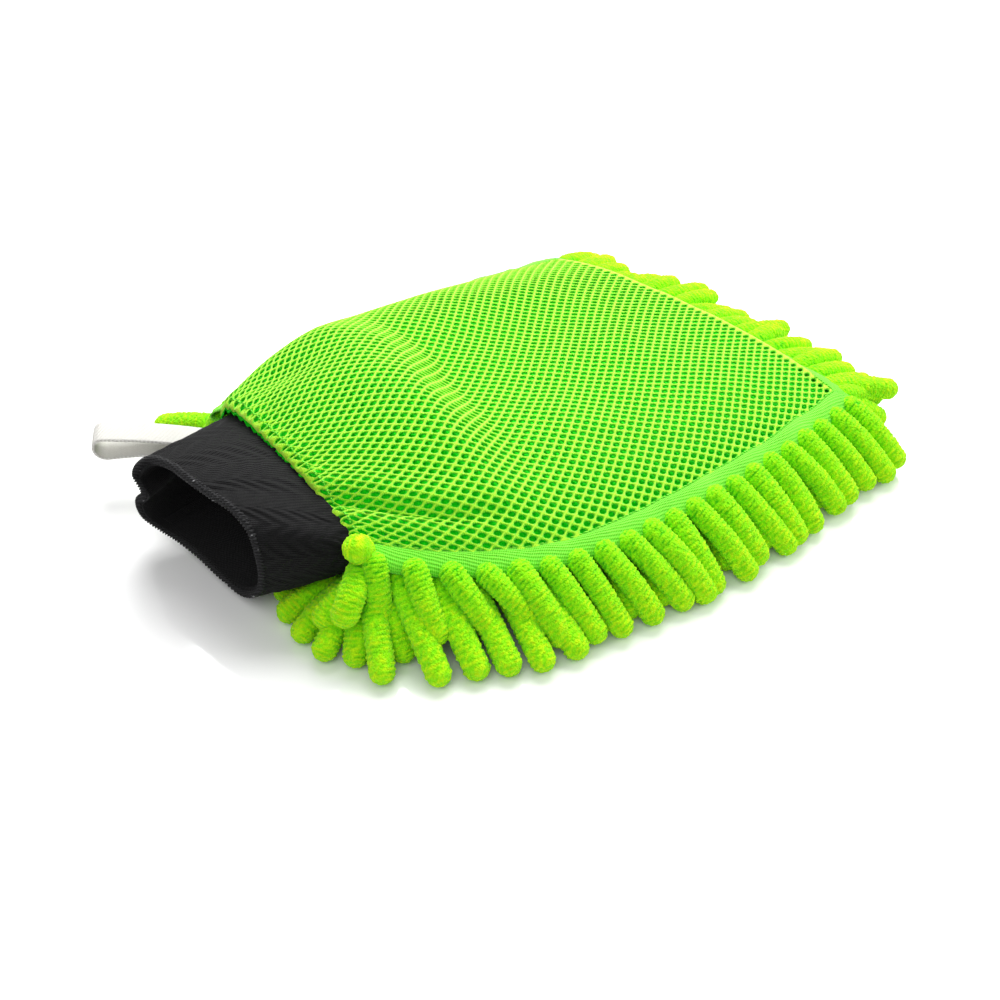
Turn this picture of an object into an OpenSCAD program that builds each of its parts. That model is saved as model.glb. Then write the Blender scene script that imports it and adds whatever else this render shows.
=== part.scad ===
// Car wash mitt: a hand pocket between a spacer mesh back and a chenille sole, closed round the
// wrist by a knitted cuff, with a webbing loop to hang it by.
// Working axes: +X runs from the cuff to the finger edge, +Y to the side of the hanging loop, +Z up.
// The working origin is the middle of the neck at ground level. place() moves it to the middle of
// the whole mitt's footprint. All sizes are in millimetres.

/* [Body outline] */
// Length of the body from the neck to the corners of the finger edge
body_l = 217; // [190:1:262]
// Greatest width of the body
body_w = 180; // [168:1:216]
// Width of the body at the finger edge
tip_w = 162; // [140:1:166]
// How much wider than the cuff the body is where it is gathered at the neck
neck_extra = 16; // [12:1:26]
// How far the finger edge bows out at its middle
tip_bow = 8; // [2:1:14]
// Distance from the neck to the widest place
widest_x = 115; // [95:1:140]
// Sideways shift of the neck
neck_shift = 1; // [0:1:3]

/* [Body height] */
// Height of the sole cloth above the ground, away from the neck
sole_z = 20; // [18:0.5:26]
// How far the middle of the sole dips at the neck
neck_dip = 6; // [4:0.5:6]
// How far the sole's edges rise at the neck
corner_rise = 14; // [8:0.5:16]
// Length over which the sole levels out from the neck
level_l = 80; // [60:1:100]
// Height of the back panel's ridge above the sole cloth
ridge_rise = 33; // [28:1:42]
// Distance from the neck to the top of the ridge
ridge_x = 55; // [40:1:80]
// Height of the back panel's middle above the sole cloth at the neck
neck_rise = 28; // [26:1:30]
// Height of the back panel's middle above the sole cloth at the finger edge
tip_rise = 11; // [10:0.5:14]

/* [Cloth] */
// Thickness of the spacer mesh back panel
mesh_t = 3; // [2:0.1:3.5]
// Thickness of the chenille's base cloth
sole_t = 2; // [1.2:0.1:2.4]
// Thickness of each lining
lining_t = 0.8; // [0.5:0.1:1]
// Height of the side bands
band_rise = 7; // [6:0.5:10]
// Thickness of the side bands
band_t = 1.2; // [0.8:0.1:1.5]
// How far the side bands lean in towards the back panel
band_lean = 4.2; // [3:0.1:5]
// Thickness of the neck tape
tape_t = 1.2; // [0.8:0.1:1.4]
// Width of the neck tape
tape_w = 8; // [6:0.5:10]
// Diameter of the sewing thread
thread_d = 1; // [0.6:0.1:1.2]

/* [Chenille fingers] */
// Radius of the sole fingers
sole_finger_r = 3.6; // [2.8:0.1:4.4]
// Free space between the sole fingers of one row
finger_gap = 1.1; // [0.6:0.1:2]
// Radius of the fringe fingers along the two sides
fringe_r = 4.6; // [3.8:0.1:5.5]
// Free space between two fringe fingers along a side, which sets the distance between the rows
row_gap = 1.3; // [0.8:0.1:2.5]
// Radius of the fringe fingers along the finger edge
tip_fringe_r = 3.9; // [3.2:0.1:4.7]
// Least free space between two fringe fingers along the finger edge
tip_gap = 0.2; // [0.2:0.1:1]
// How far a fringe finger reaches out between the middles of its ends
fringe_reach = 14.4; // [12:0.2:18]

/* [Cuff] */
// Width of the cuff
cuff_w = 84; // [72:1:102]
// Height of the cuff
cuff_h = 44.5; // [43:0.5:45]
// Length of the cuff
cuff_l = 36; // [30:1:60]
// Height of the cuff's underside above the ground
cuff_lift = 5.5; // [5.5:0.5:6]
// Thickness of the outer knit layer
knit_outer_t = 1.6; // [1.2:0.1:2]
// Thickness of the inner knit layer
knit_inner_t = 1.4; // [1:0.1:1.6]
// Diameter of the elastic threads between the layers
elastic_d = 0.7; // [0.5:0.1:0.9]
// Length of the overlocked rim binding
rim_l = 3; // [2:0.5:4]
// Gap between the neck and the cuff, in which the gathers bend
flex_gap = 4.6; // [4.6:0.1:6]

/* [Hanging loop] */
// Width of the loop's webbing
loop_w = 12; // [10:0.5:14]
// Thickness of the webbing
webbing_t = 1.2; // [1:0.1:1.5]
// Length of the loop from its sewn root to the middle of its round end
loop_l = 45; // [35:1:60]
// Inner radius of the loop's round end
loop_eye_r = 4; // [3.8:0.1:4.6]
// Direction of the loop, in degrees from -X towards +Y
loop_turn = 39; // [36:1:44]
// How far the loop droops below level, in degrees
loop_droop = 4; // [3:0.5:5]
// Height of the loop's root above the ground
loop_root_z = 22; // [21:0.5:23]

/* [Hidden] */
NECK_W = cuff_w + neck_extra;
FIRST_ROW_X = 3.4 + fringe_r;
LAST_ROW_MARGIN = 9;     // room between the last row and the finger edge's corners
ROW_PITCH = 2 * fringe_r + row_gap;
FINGER_PITCH = 2 * sole_finger_r + finger_gap;
ROWS = floor((body_l - FIRST_ROW_X - LAST_ROW_MARGIN) / ROW_PITCH) + 1;
ROW_NAMES = [for (i = [1:ROWS]) str("sole_row_", i < 10 ? "0" : "", i)];

SEAM_GAP = 0.4;          // clearance between cloths that are sewn side by side
LAYER_GAP = 0.3;         // clearance between cloths that lie on each other
STRETCH_GAP = 0.6;       // clearance between two curved cloths, whose facets differ
CORNER_ROOM = 1.2;       // room between the corner fingers and the fringe of the finger edge
TUFT_GAP = 0.6;          // clearance between the sole cloth's edge and the fringe roots
PANEL_INSET = band_lean + band_t + SEAM_GAP;
LINING_INSET = 12;       // the back lining stays clear of the side bands
SOLE_LINING_INSET = 7;
ROW_MARGIN = 10;         // bare cloth between a row's last finger and the body's edge
ROW_CLEARANCE = 0.5;     // least space between the sole fingers of two rows
// How steeply the sole fingers lie below level, so that the staggered rows clear each other
SOLE_SLANT = asin(sqrt(pow(2 * sole_finger_r + ROW_CLEARANCE, 2) - pow(FINGER_PITCH / 2, 2))
    / ROW_PITCH);
BODY_SHIFT = 6;          // sideways place of the body's middle
// How fully each side of the back is rounded: powers of the distance across and of the rise
NEAR_ROUND = [2.2, 0.8];
FAR_ROUND = [5, 0.55];
SLOPE_STEP = 0.5;        // half the step over which an edge's slope is measured
CUFF_SHIFT = 9.5;        // sideways place of the cuff's middle
CUFF_MID_Z = cuff_lift + cuff_h / 2;
LAYER_SPACE = 1;         // room for the elastic threads between the knit layers
ELASTIC_X = [10, 17, 24, 31];
LOOP_ROOT = [-5, max(NECK_W / 2 + 12, CUFF_SHIFT + cuff_w / 2 + 10.5), loop_root_z];
LOOP_NECK_R = 0.5;       // inner radius of the loop where its two ends meet
ARC_STEPS = 14;
TAB_L = 3.5;             // how much of the webbing is caught in the neck seam
CURVE = 48;

function fall(x, length) = x < length ? pow(1 - max(x, 0) / length, 2) : 0;

// Middle line, half width and finger edge of the body's outline
function mid_y(x) = BODY_SHIFT + neck_shift * fall(x, widest_x);
function half_w(x) = x > widest_x
    ? body_w / 2 - (body_w - tip_w) / 2 * pow((x - widest_x) / (body_l - widest_x), 2)
    : body_w / 2 - (body_w - NECK_W) / 2 * pow((widest_x - max(x, 0)) / widest_x, 2.67);
function tip_x(v) = body_l + tip_bow * (1 - v * v);
function edge_y(x, side, inset) = mid_y(x) + side * (half_w(x) - inset);
function slope(x, side) =
    (edge_y(x + SLOPE_STEP, side, 0) - edge_y(x - SLOPE_STEP, side, 0)) / (2 * SLOPE_STEP);
function unit(p) = p / norm(p);
function outward(x, side) = unit([-side * slope(x, side), side]);

// Heights of the sole cloth's middle layer and of the back panel's upper face
function across(x, y, inset) = min(1, abs(y - mid_y(x)) / (half_w(x) - inset));
function sole_h(x, y) =
    sole_z + fall(x, level_l) * (corner_rise * pow(across(x, y, 0), 6) - neck_dip);
function sole_edge_h(x) = sole_z + fall(x, level_l) * (corner_rise - neck_dip);
function back_edge_h(x) = sole_edge_h(x) + band_rise;
function past_ridge(x) = min(1, (x - ridge_x) / (body_l - ridge_x));
function ridge_h(x) = sole_z + (x < ridge_x
    ? ridge_rise - (ridge_rise - neck_rise) * pow(1 - x / ridge_x, 2)
    : tip_rise + (ridge_rise - tip_rise) * pow(1 - past_ridge(x), 1.25));
function back_h(x, y) = let (form = y < mid_y(x) ? NEAR_ROUND : FAR_ROUND)
    back_edge_h(x) + (ridge_h(x) - back_edge_h(x))
    * pow(1 - pow(across(x, y, PANEL_INSET), form[0]), form[1]);
function lining_top(x, y) = back_h(x, y) - mesh_t - STRETCH_GAP;
function sole_lining_top(x, y) = sole_h(x, y) + sole_t / 2 + STRETCH_GAP + lining_t;

// A closed solid through rings of points, each anticlockwise when seen from the far end
module loft(rings) {
    k = len(rings[0]);
    last = len(rings) - 1;
    sides = [for (i = [0:last - 1], j = [0:k - 1])
        let (a = i * k + j, b = i * k + (j + 1) % k, c = b + k, d = a + k)
        each [[a, d, c], [a, c, b]]];
    ends = [[for (j = [0:k - 1]) j], [for (j = [k - 1:-1:0]) last * k + j]];
    polyhedron([for (ring = rings) each ring], concat(sides, ends), convexity = 6);
}

// A cloth of even thickness under the height function top, set in from the body's outline
module cloth(top, thick, inset, start, steps, columns) {
    width = columns + 1;
    layer = (steps + 1) * width;
    function spot(i, j, drop) =
        let (v = sin(90 * (2 * j / columns - 1)),
             x = start + (tip_x(v) - inset - start) * i / steps,
             y = mid_y(x) + v * (half_w(x) - inset))
        [x, y, top(x, y) - drop];
    function quad(a, b, c, d) = [[a, b, c], [a, c, d]];
    points = [for (drop = [0, thick], i = [0:steps], j = [0:columns]) spot(i, j, drop)];
    faces = concat(
        [for (i = [0:steps - 1], j = [0:columns - 1]) let (a = i * width + j)
            each concat(quad(a, a + 1, a + width + 1, a + width),
                        quad(a + layer, a + layer + width, a + layer + width + 1, a + layer + 1))],
        [for (i = [0:steps - 1]) let (a = i * width, b = a + columns)
            each concat(quad(a, a + width, a + width + layer, a + layer),
                        quad(b + width, b, b + layer, b + layer + width))],
        [for (j = [0:columns - 1]) let (a = j, b = steps * width + j)
            each concat(quad(a + 1, a, a + layer, a + layer + 1),
                        quad(b, b + 1, b + layer + 1, b + layer))]
    );
    polyhedron(points, faces, convexity = 6);
}

// Cross-section of a side band: an upright strip that leans in towards the back panel.
// at(inset, z) gives the point that far in from the edge.
function band_ring(x, at) = [
    at(0, sole_edge_h(x) + sole_t / 2 + LAYER_GAP),
    at(band_t, sole_edge_h(x) + sole_t / 2 + LAYER_GAP),
    at(band_lean + band_t, back_edge_h(x)),
    at(band_lean, back_edge_h(x))
];
function flip(ring) = [for (j = [len(ring) - 1:-1:0]) ring[j]];

module side_band(side) {
    steps = 26;
    start = 1;
    end = body_l - PANEL_INSET - SEAM_GAP;
    loft([for (i = [0:steps])
        let (x = start + (end - start) * i / steps,
             ring = band_ring(x, function (inset, z) [x, edge_y(x, side, inset), z]))
        side < 0 ? ring : flip(ring)]);
}

// A sewing thread: a thin tube through the given points
function thread_ring(p, q) =
    let (along = unit([q.x - p.x, q.y - p.y]), r = thread_d / 2)
    [for (a = [0:72:359]) p + r * [-along.y * cos(a), along.x * cos(a), sin(a)]];

module thread(points) {
    last = len(points) - 1;
    loft([for (i = [0:last])
        i < last ? thread_ring(points[i], points[i + 1])
                 : thread_ring(points[i], 2 * points[i] - points[i - 1])]);
}

// The points of a line that follows the two sides and the finger edge, at an inset from them
function along_edge(inset, steps, height) =
    let (start = 3, corner = body_l - inset - thread_d)
    concat(
        [for (i = [0:steps]) let (x = start + (corner - start) * i / steps)
            [x, edge_y(x, -1, inset), height(x)]],
        [for (i = [1:steps - 1]) let (v = 2 * i / steps - 1, x = tip_x(v) - inset)
            [x, mid_y(x) + v * (half_w(x) - inset), height(x)]],
        [for (i = [steps:-1:0]) let (x = start + (corner - start) * i / steps)
            [x, edge_y(x, 1, inset), height(x)]]
    );

// A round-ended finger that starts at the middle of its root and runs along +Z
module capsule(length, r) {
    rotate_extrude($fn = CURVE) intersection() {
        union() {
            circle(r, $fn = CURVE);
            translate([0, length]) circle(r, $fn = CURVE);
            square([r, length]);
        }
        translate([0, -r]) square([r, length + 2 * r]);
    }
}

// A finger between the middles of its two ends
module finger(root, end, r) {
    run = end - root;
    turn = atan2(run.y, run.x);
    tilt = acos(run.z / norm(run));
    translate(root) rotate([0, tilt, turn]) capsule(norm(run), r);
}

// The two ends of each fringe finger, whose outer end rests on the ground
function row_x(i) = FIRST_ROW_X + i * ROW_PITCH;
function fringe_finger(p, out, z, r) =
    let (a = p + out * (r + TUFT_GAP), b = a + out * fringe_reach) [[a.x, a.y, z], [b.x, b.y, r]];
function side_fringe(side) = concat(
    [for (i = [0:ROWS - 1]) if (row_x(i) <= body_l - LAST_ROW_MARGIN) let (x = row_x(i))
        fringe_finger([x, edge_y(x, side, 0)], outward(x, side), sole_edge_h(x), fringe_r)],
    [fringe_finger([body_l, BODY_SHIFT + side * tip_w / 2], unit([1, side]), sole_z, fringe_r)]
);
TIP_FRINGE_W = tip_w - 2 * (fringe_r + CORNER_ROOM);
TIP_FRINGE_N = floor(TIP_FRINGE_W / (2 * tip_fringe_r + tip_gap)) + 1;
function tip_fringe_y(j) = TIP_FRINGE_W * (j / (TIP_FRINGE_N - 1) - 0.5);
TIP_FRINGE = [for (j = [0:TIP_FRINGE_N - 1])
    let (y = tip_fringe_y(j), v = 2 * y / tip_w)
    fringe_finger([tip_x(v), BODY_SHIFT + y], unit([1, 4 * tip_bow * v / tip_w]), sole_z,
                  tip_fringe_r)];

// Fingers by the neck's near corner: two reach out beside and under the cuff, and one stands up
SHOULDER_R = 4.2;
CUFF_SIDE_Y = CUFF_SHIFT - cuff_w / 2;
NECK_SIDE_Y = min(edge_y(0, -1, 0), CUFF_SIDE_Y - 10.5);
SHOULDER_FINGERS = [
    [[-3, NECK_SIDE_Y - 3.5, 15], [-19, NECK_SIDE_Y - 9.5, SHOULDER_R]],
    [[-1, CUFF_SIDE_Y - 3.5, 11], [-18, CUFF_SIDE_Y - 3.5, SHOULDER_R]],
    [[-4, NECK_SIDE_Y - 6.5, 30], [-10, NECK_SIDE_Y - 12, 36]]
];

// Footprint of the whole mitt, from which its origin is set
FAR_ENDS = [for (f = side_fringe(1)) f[1].y + fringe_r];
NEAR_ENDS = [for (f = side_fringe(-1)) f[1].y - fringe_r];
TIP_ENDS = [for (f = TIP_FRINGE) f[1].x + tip_fringe_r];
LOOP_END_X = LOOP_ROOT.x - cos(loop_turn) * (loop_l * cos(loop_droop) + loop_eye_r + webbing_t)
    - sin(loop_turn) * loop_w / 2;
BACK_END_X = min(LOOP_END_X, -flex_gap - cuff_l);
CENTRE = [(max(TIP_ENDS) + BACK_END_X) / 2, (max(FAR_ENDS) + min(NEAR_ENDS)) / 2, 0];
module place() {
    translate(-CENTRE) children();
}

// Back of the hand pocket
module back_panel() {
    color("lawngreen") place()
        cloth(function (x, y) back_h(x, y), mesh_t, PANEL_INSET, 0, 30, 20);
}
module back_lining() {
    color("green") place()
        cloth(function (x, y) lining_top(x, y), lining_t, LINING_INSET, 2, 20, 14);
}

// Chenille side of the hand pocket
module sole_cloth() {
    color("limegreen") place()
        cloth(function (x, y) sole_h(x, y) + sole_t / 2, sole_t, 0.5, 0, 22, 18);
}
module sole_lining() {
    color("green") place()
        cloth(function (x, y) sole_lining_top(x, y), lining_t, SOLE_LINING_INSET, 2, 18, 14);
}

// Bands between the two sides
module near_band() {
    color("greenyellow") place() side_band(-1);
}
module far_band() {
    color("greenyellow") place() side_band(1);
}
module tip_band() {
    steps = 22;
    color("greenyellow") place()
        loft([for (i = [0:steps])
            let (v = 0.99 * (2 * i / steps - 1), y = BODY_SHIFT + v * tip_w / 2)
            band_ring(body_l, function (inset, z) [tip_x(v) - inset, y, z])]);
}
module back_seam_thread() {
    color("yellowgreen") place() thread(along_edge(band_lean + band_t / 2, 26,
        function (x) back_edge_h(x) + thread_d / 2 + LAYER_GAP));
}
module sole_seam_thread() {
    color("yellowgreen") place() thread(along_edge(band_t + 2 * thread_d, 26,
        function (x) sole_edge_h(x) + sole_t / 2 + thread_d));
}

// Tape round the inside of the neck, between the linings, and the thread that gathers the back
function tape_half(x) = half_w(x) - LINING_INSET + 3;
module tape_outline(inset) {
    x0 = 4;
    x1 = x0 + tape_w;
    gap = 1;
    half = tape_half(x0) - inset;
    steps = 16;
    upper = [for (i = [0:steps]) let (y = mid_y(x0) + half * (1 - 2 * i / steps))
        [y, min(lining_top(x0, y), lining_top(x1, y)) - lining_t - gap - inset]];
    lower = [for (i = [0:steps]) let (y = mid_y(x0) + half * (2 * i / steps - 1))
        [y, max(sole_lining_top(x0, y), sole_lining_top(x1, y)) + gap + inset]];
    polygon(concat(upper, lower));
}
module neck_tape() {
    color("black") place() translate([4, 0, 0]) rotate([90, 0, 90]) linear_extrude(tape_w)
        difference() {
            tape_outline(0);
            tape_outline(tape_t);
        }
}
module neck_thread() {
    half = 0.85 * (half_w(3) - PANEL_INSET);
    steps = 24;
    color("yellowgreen") place() thread([for (i = [0:steps])
        let (y = mid_y(3) + half * (2 * i / steps - 1)) [3, y, back_h(3, y) + thread_d]]);
}

// Chenille fingers: the fringe round the edge and the rows under the sole
module near_fringe() {
    color("greenyellow") place() for (f = side_fringe(-1)) finger(f[0], f[1], fringe_r);
}
module far_fringe() {
    color("greenyellow") place() for (f = side_fringe(1)) finger(f[0], f[1], fringe_r);
}
module tip_fringe() {
    color("greenyellow") place() for (f = TIP_FRINGE) finger(f[0], f[1], tip_fringe_r);
}
module near_shoulder_fringe() {
    color("greenyellow") place() for (f = SHOULDER_FINGERS) finger(f[0], f[1], SHOULDER_R);
}
module sole_row(i) {
    x = row_x(i);
    tape_top = sole_h(x, mid_y(x)) - sole_t / 2 - LAYER_GAP;
    root_z = tape_top - sole_finger_r;
    run = (root_z - sole_finger_r) / tan(SOLE_SLANT);
    stagger = i % 2 == 0 ? 0 : 0.5;
    half = half_w(x) - ROW_MARGIN;
    count = floor(half / FINGER_PITCH);
    ys = [for (j = [-count:count]) if (abs(j + stagger) * FINGER_PITCH < half)
        mid_y(x) + (j + stagger) * FINGER_PITCH];
    union() {
        translate([x - 1.5, min(ys), root_z + 0.4 * sole_finger_r])
            cube([3, max(ys) - min(ys), 0.6 * sole_finger_r]);
        for (y = ys) finger([x, y, root_z], [x + run, y, sole_finger_r], sole_finger_r);
    }
}

// Cuff: two knit layers joined by a bound rim, with elastic threads between them
module oval(width, height) {
    r = height / 2;
    square([height, width - height], center = true);
    for (side = [-1, 1]) translate([0, side * (width - height) / 2]) circle(r, $fn = 2 * CURVE);
}
module oval_ring(wall_out, wall_in) {
    difference() {
        oval(cuff_w - 2 * wall_out, cuff_h - 2 * wall_out);
        oval(cuff_w - 2 * wall_in, cuff_h - 2 * wall_in);
    }
}
module along_cuff(from) {
    translate([-flex_gap - from, CUFF_SHIFT, CUFF_MID_Z]) rotate([0, -90, 0]) children();
}
CUFF_WALL = knit_outer_t + LAYER_SPACE + knit_inner_t;
module cuff_outer() {
    color("black") place() along_cuff(0)
        linear_extrude(cuff_l - rim_l) oval_ring(0, knit_outer_t);
}
module cuff_inner() {
    color("dimgray") place() along_cuff(0)
        linear_extrude(cuff_l - rim_l) oval_ring(knit_outer_t + LAYER_SPACE, CUFF_WALL);
}
module cuff_elastic_threads() {
    inner = knit_outer_t + (LAYER_SPACE - elastic_d) / 2;
    color("gray") place() for (from = ELASTIC_X)
        if (from + elastic_d < cuff_l - rim_l) along_cuff(from)
            linear_extrude(elastic_d) oval_ring(inner, inner + elastic_d);
}
module cuff_rim_binding() {
    color("darkslategray") place() along_cuff(cuff_l - rim_l)
        linear_extrude(rim_l) oval_ring(0, CUFF_WALL);
}
module cuff_side_seam() {
    seam_h = 6;
    seam_t = 1;
    color("black") place() along_cuff(2)
        translate([-seam_h / 2, cuff_w / 2 - CUFF_WALL - 2 * seam_t, 0])
            cube([seam_h, seam_t, cuff_l - rim_l - 4]);
}

// Hanging loop: folded webbing whose ends are caught in the neck seam
module along_loop() {
    translate(LOOP_ROOT) rotate([0, 0, -loop_turn]) rotate([90, 0, 180]) rotate([0, 0, -loop_droop])
        children();
}
// Outline of the loop's side view: tangent lines from a small round root to a large round end
function drop_outline(root_r, end_r) =
    let (lean = asin((end_r - root_r) / loop_l))
    concat(
        [for (i = [0:ARC_STEPS]) let (a = 90 + lean - (180 + 2 * lean) * i / ARC_STEPS)
            [loop_l + end_r * cos(a), end_r * sin(a)]],
        [for (i = [0:ARC_STEPS]) let (a = -90 - lean - (180 - 2 * lean) * i / ARC_STEPS)
            [root_r * cos(a), root_r * sin(a)]]
    );
module hanging_loop() {
    color("ivory") place() along_loop() translate([0, 0, -loop_w / 2]) linear_extrude(loop_w)
        difference() {
            polygon(drop_outline(LOOP_NECK_R + webbing_t, loop_eye_r + webbing_t));
            polygon(drop_outline(LOOP_NECK_R, loop_eye_r));
        }
}
module loop_tab() {
    color("ivory") place() along_loop()
        translate([-LOOP_NECK_R - webbing_t - SEAM_GAP - TAB_L, -webbing_t, -loop_w / 2])
            cube([TAB_L, 2 * webbing_t, loop_w]);
}
module loop_bar_tack() {
    inset = 2;
    tack_l = 2;
    color("white") place() along_loop()
        translate([-LOOP_NECK_R - webbing_t - SEAM_GAP - (TAB_L + tack_l) / 2, webbing_t,
                   inset - loop_w / 2])
            cube([tack_l, thread_d / 2, loop_w - 2 * inset]);
}

back_panel();
back_lining();
sole_cloth();
sole_lining();
near_band();
tip_band();
far_band();
back_seam_thread();
sole_seam_thread();
neck_tape();
neck_thread();
near_fringe();
far_fringe();
tip_fringe();
near_shoulder_fringe();
cuff_outer();
cuff_inner();
cuff_elastic_threads();
cuff_rim_binding();
cuff_side_seam();
loop_tab();
loop_bar_tack();
hanging_loop();
for (i = [0:ROWS - 1])
    color("greenyellow") place() sole_row(i);
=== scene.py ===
"""Looks of the car wash mitt: holed mesh back, woven bands, chenille fingers, knitted cuff and webbing loop.

The shapes are worked out in millimetres, with x = 0 at the neck and +x towards the finger edge, y = 0 on the
middle line and z = 0 on the ground. Body.place() turns such a point into the frame's metres.
"""
import logging
import math
import random
from dataclasses import dataclass, field
from enum import Enum
from typing import Callable, Sequence

import bmesh
import bpy
import numpy as np
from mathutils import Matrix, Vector, noise


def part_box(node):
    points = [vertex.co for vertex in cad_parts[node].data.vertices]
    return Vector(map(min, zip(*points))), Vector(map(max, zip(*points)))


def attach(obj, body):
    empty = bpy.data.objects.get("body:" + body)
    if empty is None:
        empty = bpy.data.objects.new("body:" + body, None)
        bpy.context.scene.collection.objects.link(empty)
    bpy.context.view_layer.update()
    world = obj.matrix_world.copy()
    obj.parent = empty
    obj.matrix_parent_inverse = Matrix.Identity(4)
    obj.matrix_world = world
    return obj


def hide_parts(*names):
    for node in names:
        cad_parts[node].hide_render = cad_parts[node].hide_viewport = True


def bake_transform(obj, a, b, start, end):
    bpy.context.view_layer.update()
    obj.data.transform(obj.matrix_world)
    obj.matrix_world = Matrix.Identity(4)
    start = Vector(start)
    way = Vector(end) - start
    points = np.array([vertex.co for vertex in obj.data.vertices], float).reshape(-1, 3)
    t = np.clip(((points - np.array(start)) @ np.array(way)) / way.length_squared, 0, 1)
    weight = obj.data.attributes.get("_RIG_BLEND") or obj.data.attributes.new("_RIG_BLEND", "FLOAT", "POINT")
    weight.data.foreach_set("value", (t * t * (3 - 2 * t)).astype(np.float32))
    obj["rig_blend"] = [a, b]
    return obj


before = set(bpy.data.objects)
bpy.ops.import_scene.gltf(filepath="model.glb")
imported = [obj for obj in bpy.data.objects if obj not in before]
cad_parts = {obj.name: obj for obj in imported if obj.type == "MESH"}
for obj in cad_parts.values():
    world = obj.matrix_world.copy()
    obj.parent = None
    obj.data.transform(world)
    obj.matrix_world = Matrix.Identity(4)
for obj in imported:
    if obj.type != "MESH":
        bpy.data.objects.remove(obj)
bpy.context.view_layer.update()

LOG = logging.getLogger("wash_mitt")
MM = 0.001
TURN = 2 * math.pi
Colour = tuple[float, float, float]
Spot = Callable[[float, float], Vector]


# ---------------------------------------------------------------- shader tools


class Value:
    """A shader socket that can be used in sums, products and powers."""

    def __init__(self, maker: "Shader", socket: bpy.types.NodeSocket) -> None:
        """Wraps a socket.

        Args:
            maker: The shader that the socket belongs to.
            socket: The output socket.
        """
        self.maker = maker
        self.socket = socket

    def math(self, operation: str, first: object, second: object = 0.0) -> "Value":
        """Adds a Math node.

        Args:
            operation: The Math node's operation.
            first: The first value.
            second: The second value.

        Returns:
            The node's result.
        """
        return self.maker.node("ShaderNodeMath", {"operation": operation}, {0: first, 1: second})

    def __add__(self, other: object) -> "Value":
        """self + other."""
        return self.math("ADD", self, other)

    def __radd__(self, other: object) -> "Value":
        """other + self."""
        return self.math("ADD", other, self)

    def __sub__(self, other: object) -> "Value":
        """self - other."""
        return self.math("SUBTRACT", self, other)

    def __rsub__(self, other: object) -> "Value":
        """other - self."""
        return self.math("SUBTRACT", other, self)

    def __mul__(self, other: object) -> "Value":
        """self * other."""
        return self.math("MULTIPLY", self, other)

    def __rmul__(self, other: object) -> "Value":
        """other * self."""
        return self.math("MULTIPLY", other, self)

    def sine(self) -> "Value":
        """The sine of the value, in radians."""
        return self.math("SINE", self)

    def size(self) -> "Value":
        """The value without its sign."""
        return self.math("ABSOLUTE", self)

    def over(self, low: float, high: float) -> "Value":
        """The value's place between low and high, from 0 to 1.

        Args:
            low: The value that gives 0.
            high: The value that gives 1.

        Returns:
            A smooth step.
        """
        return self.maker.node(
            "ShaderNodeMapRange",
            {"interpolation_type": "SMOOTHSTEP"},
            {"Value": self, "From Min": low, "From Max": high},
        )


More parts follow.
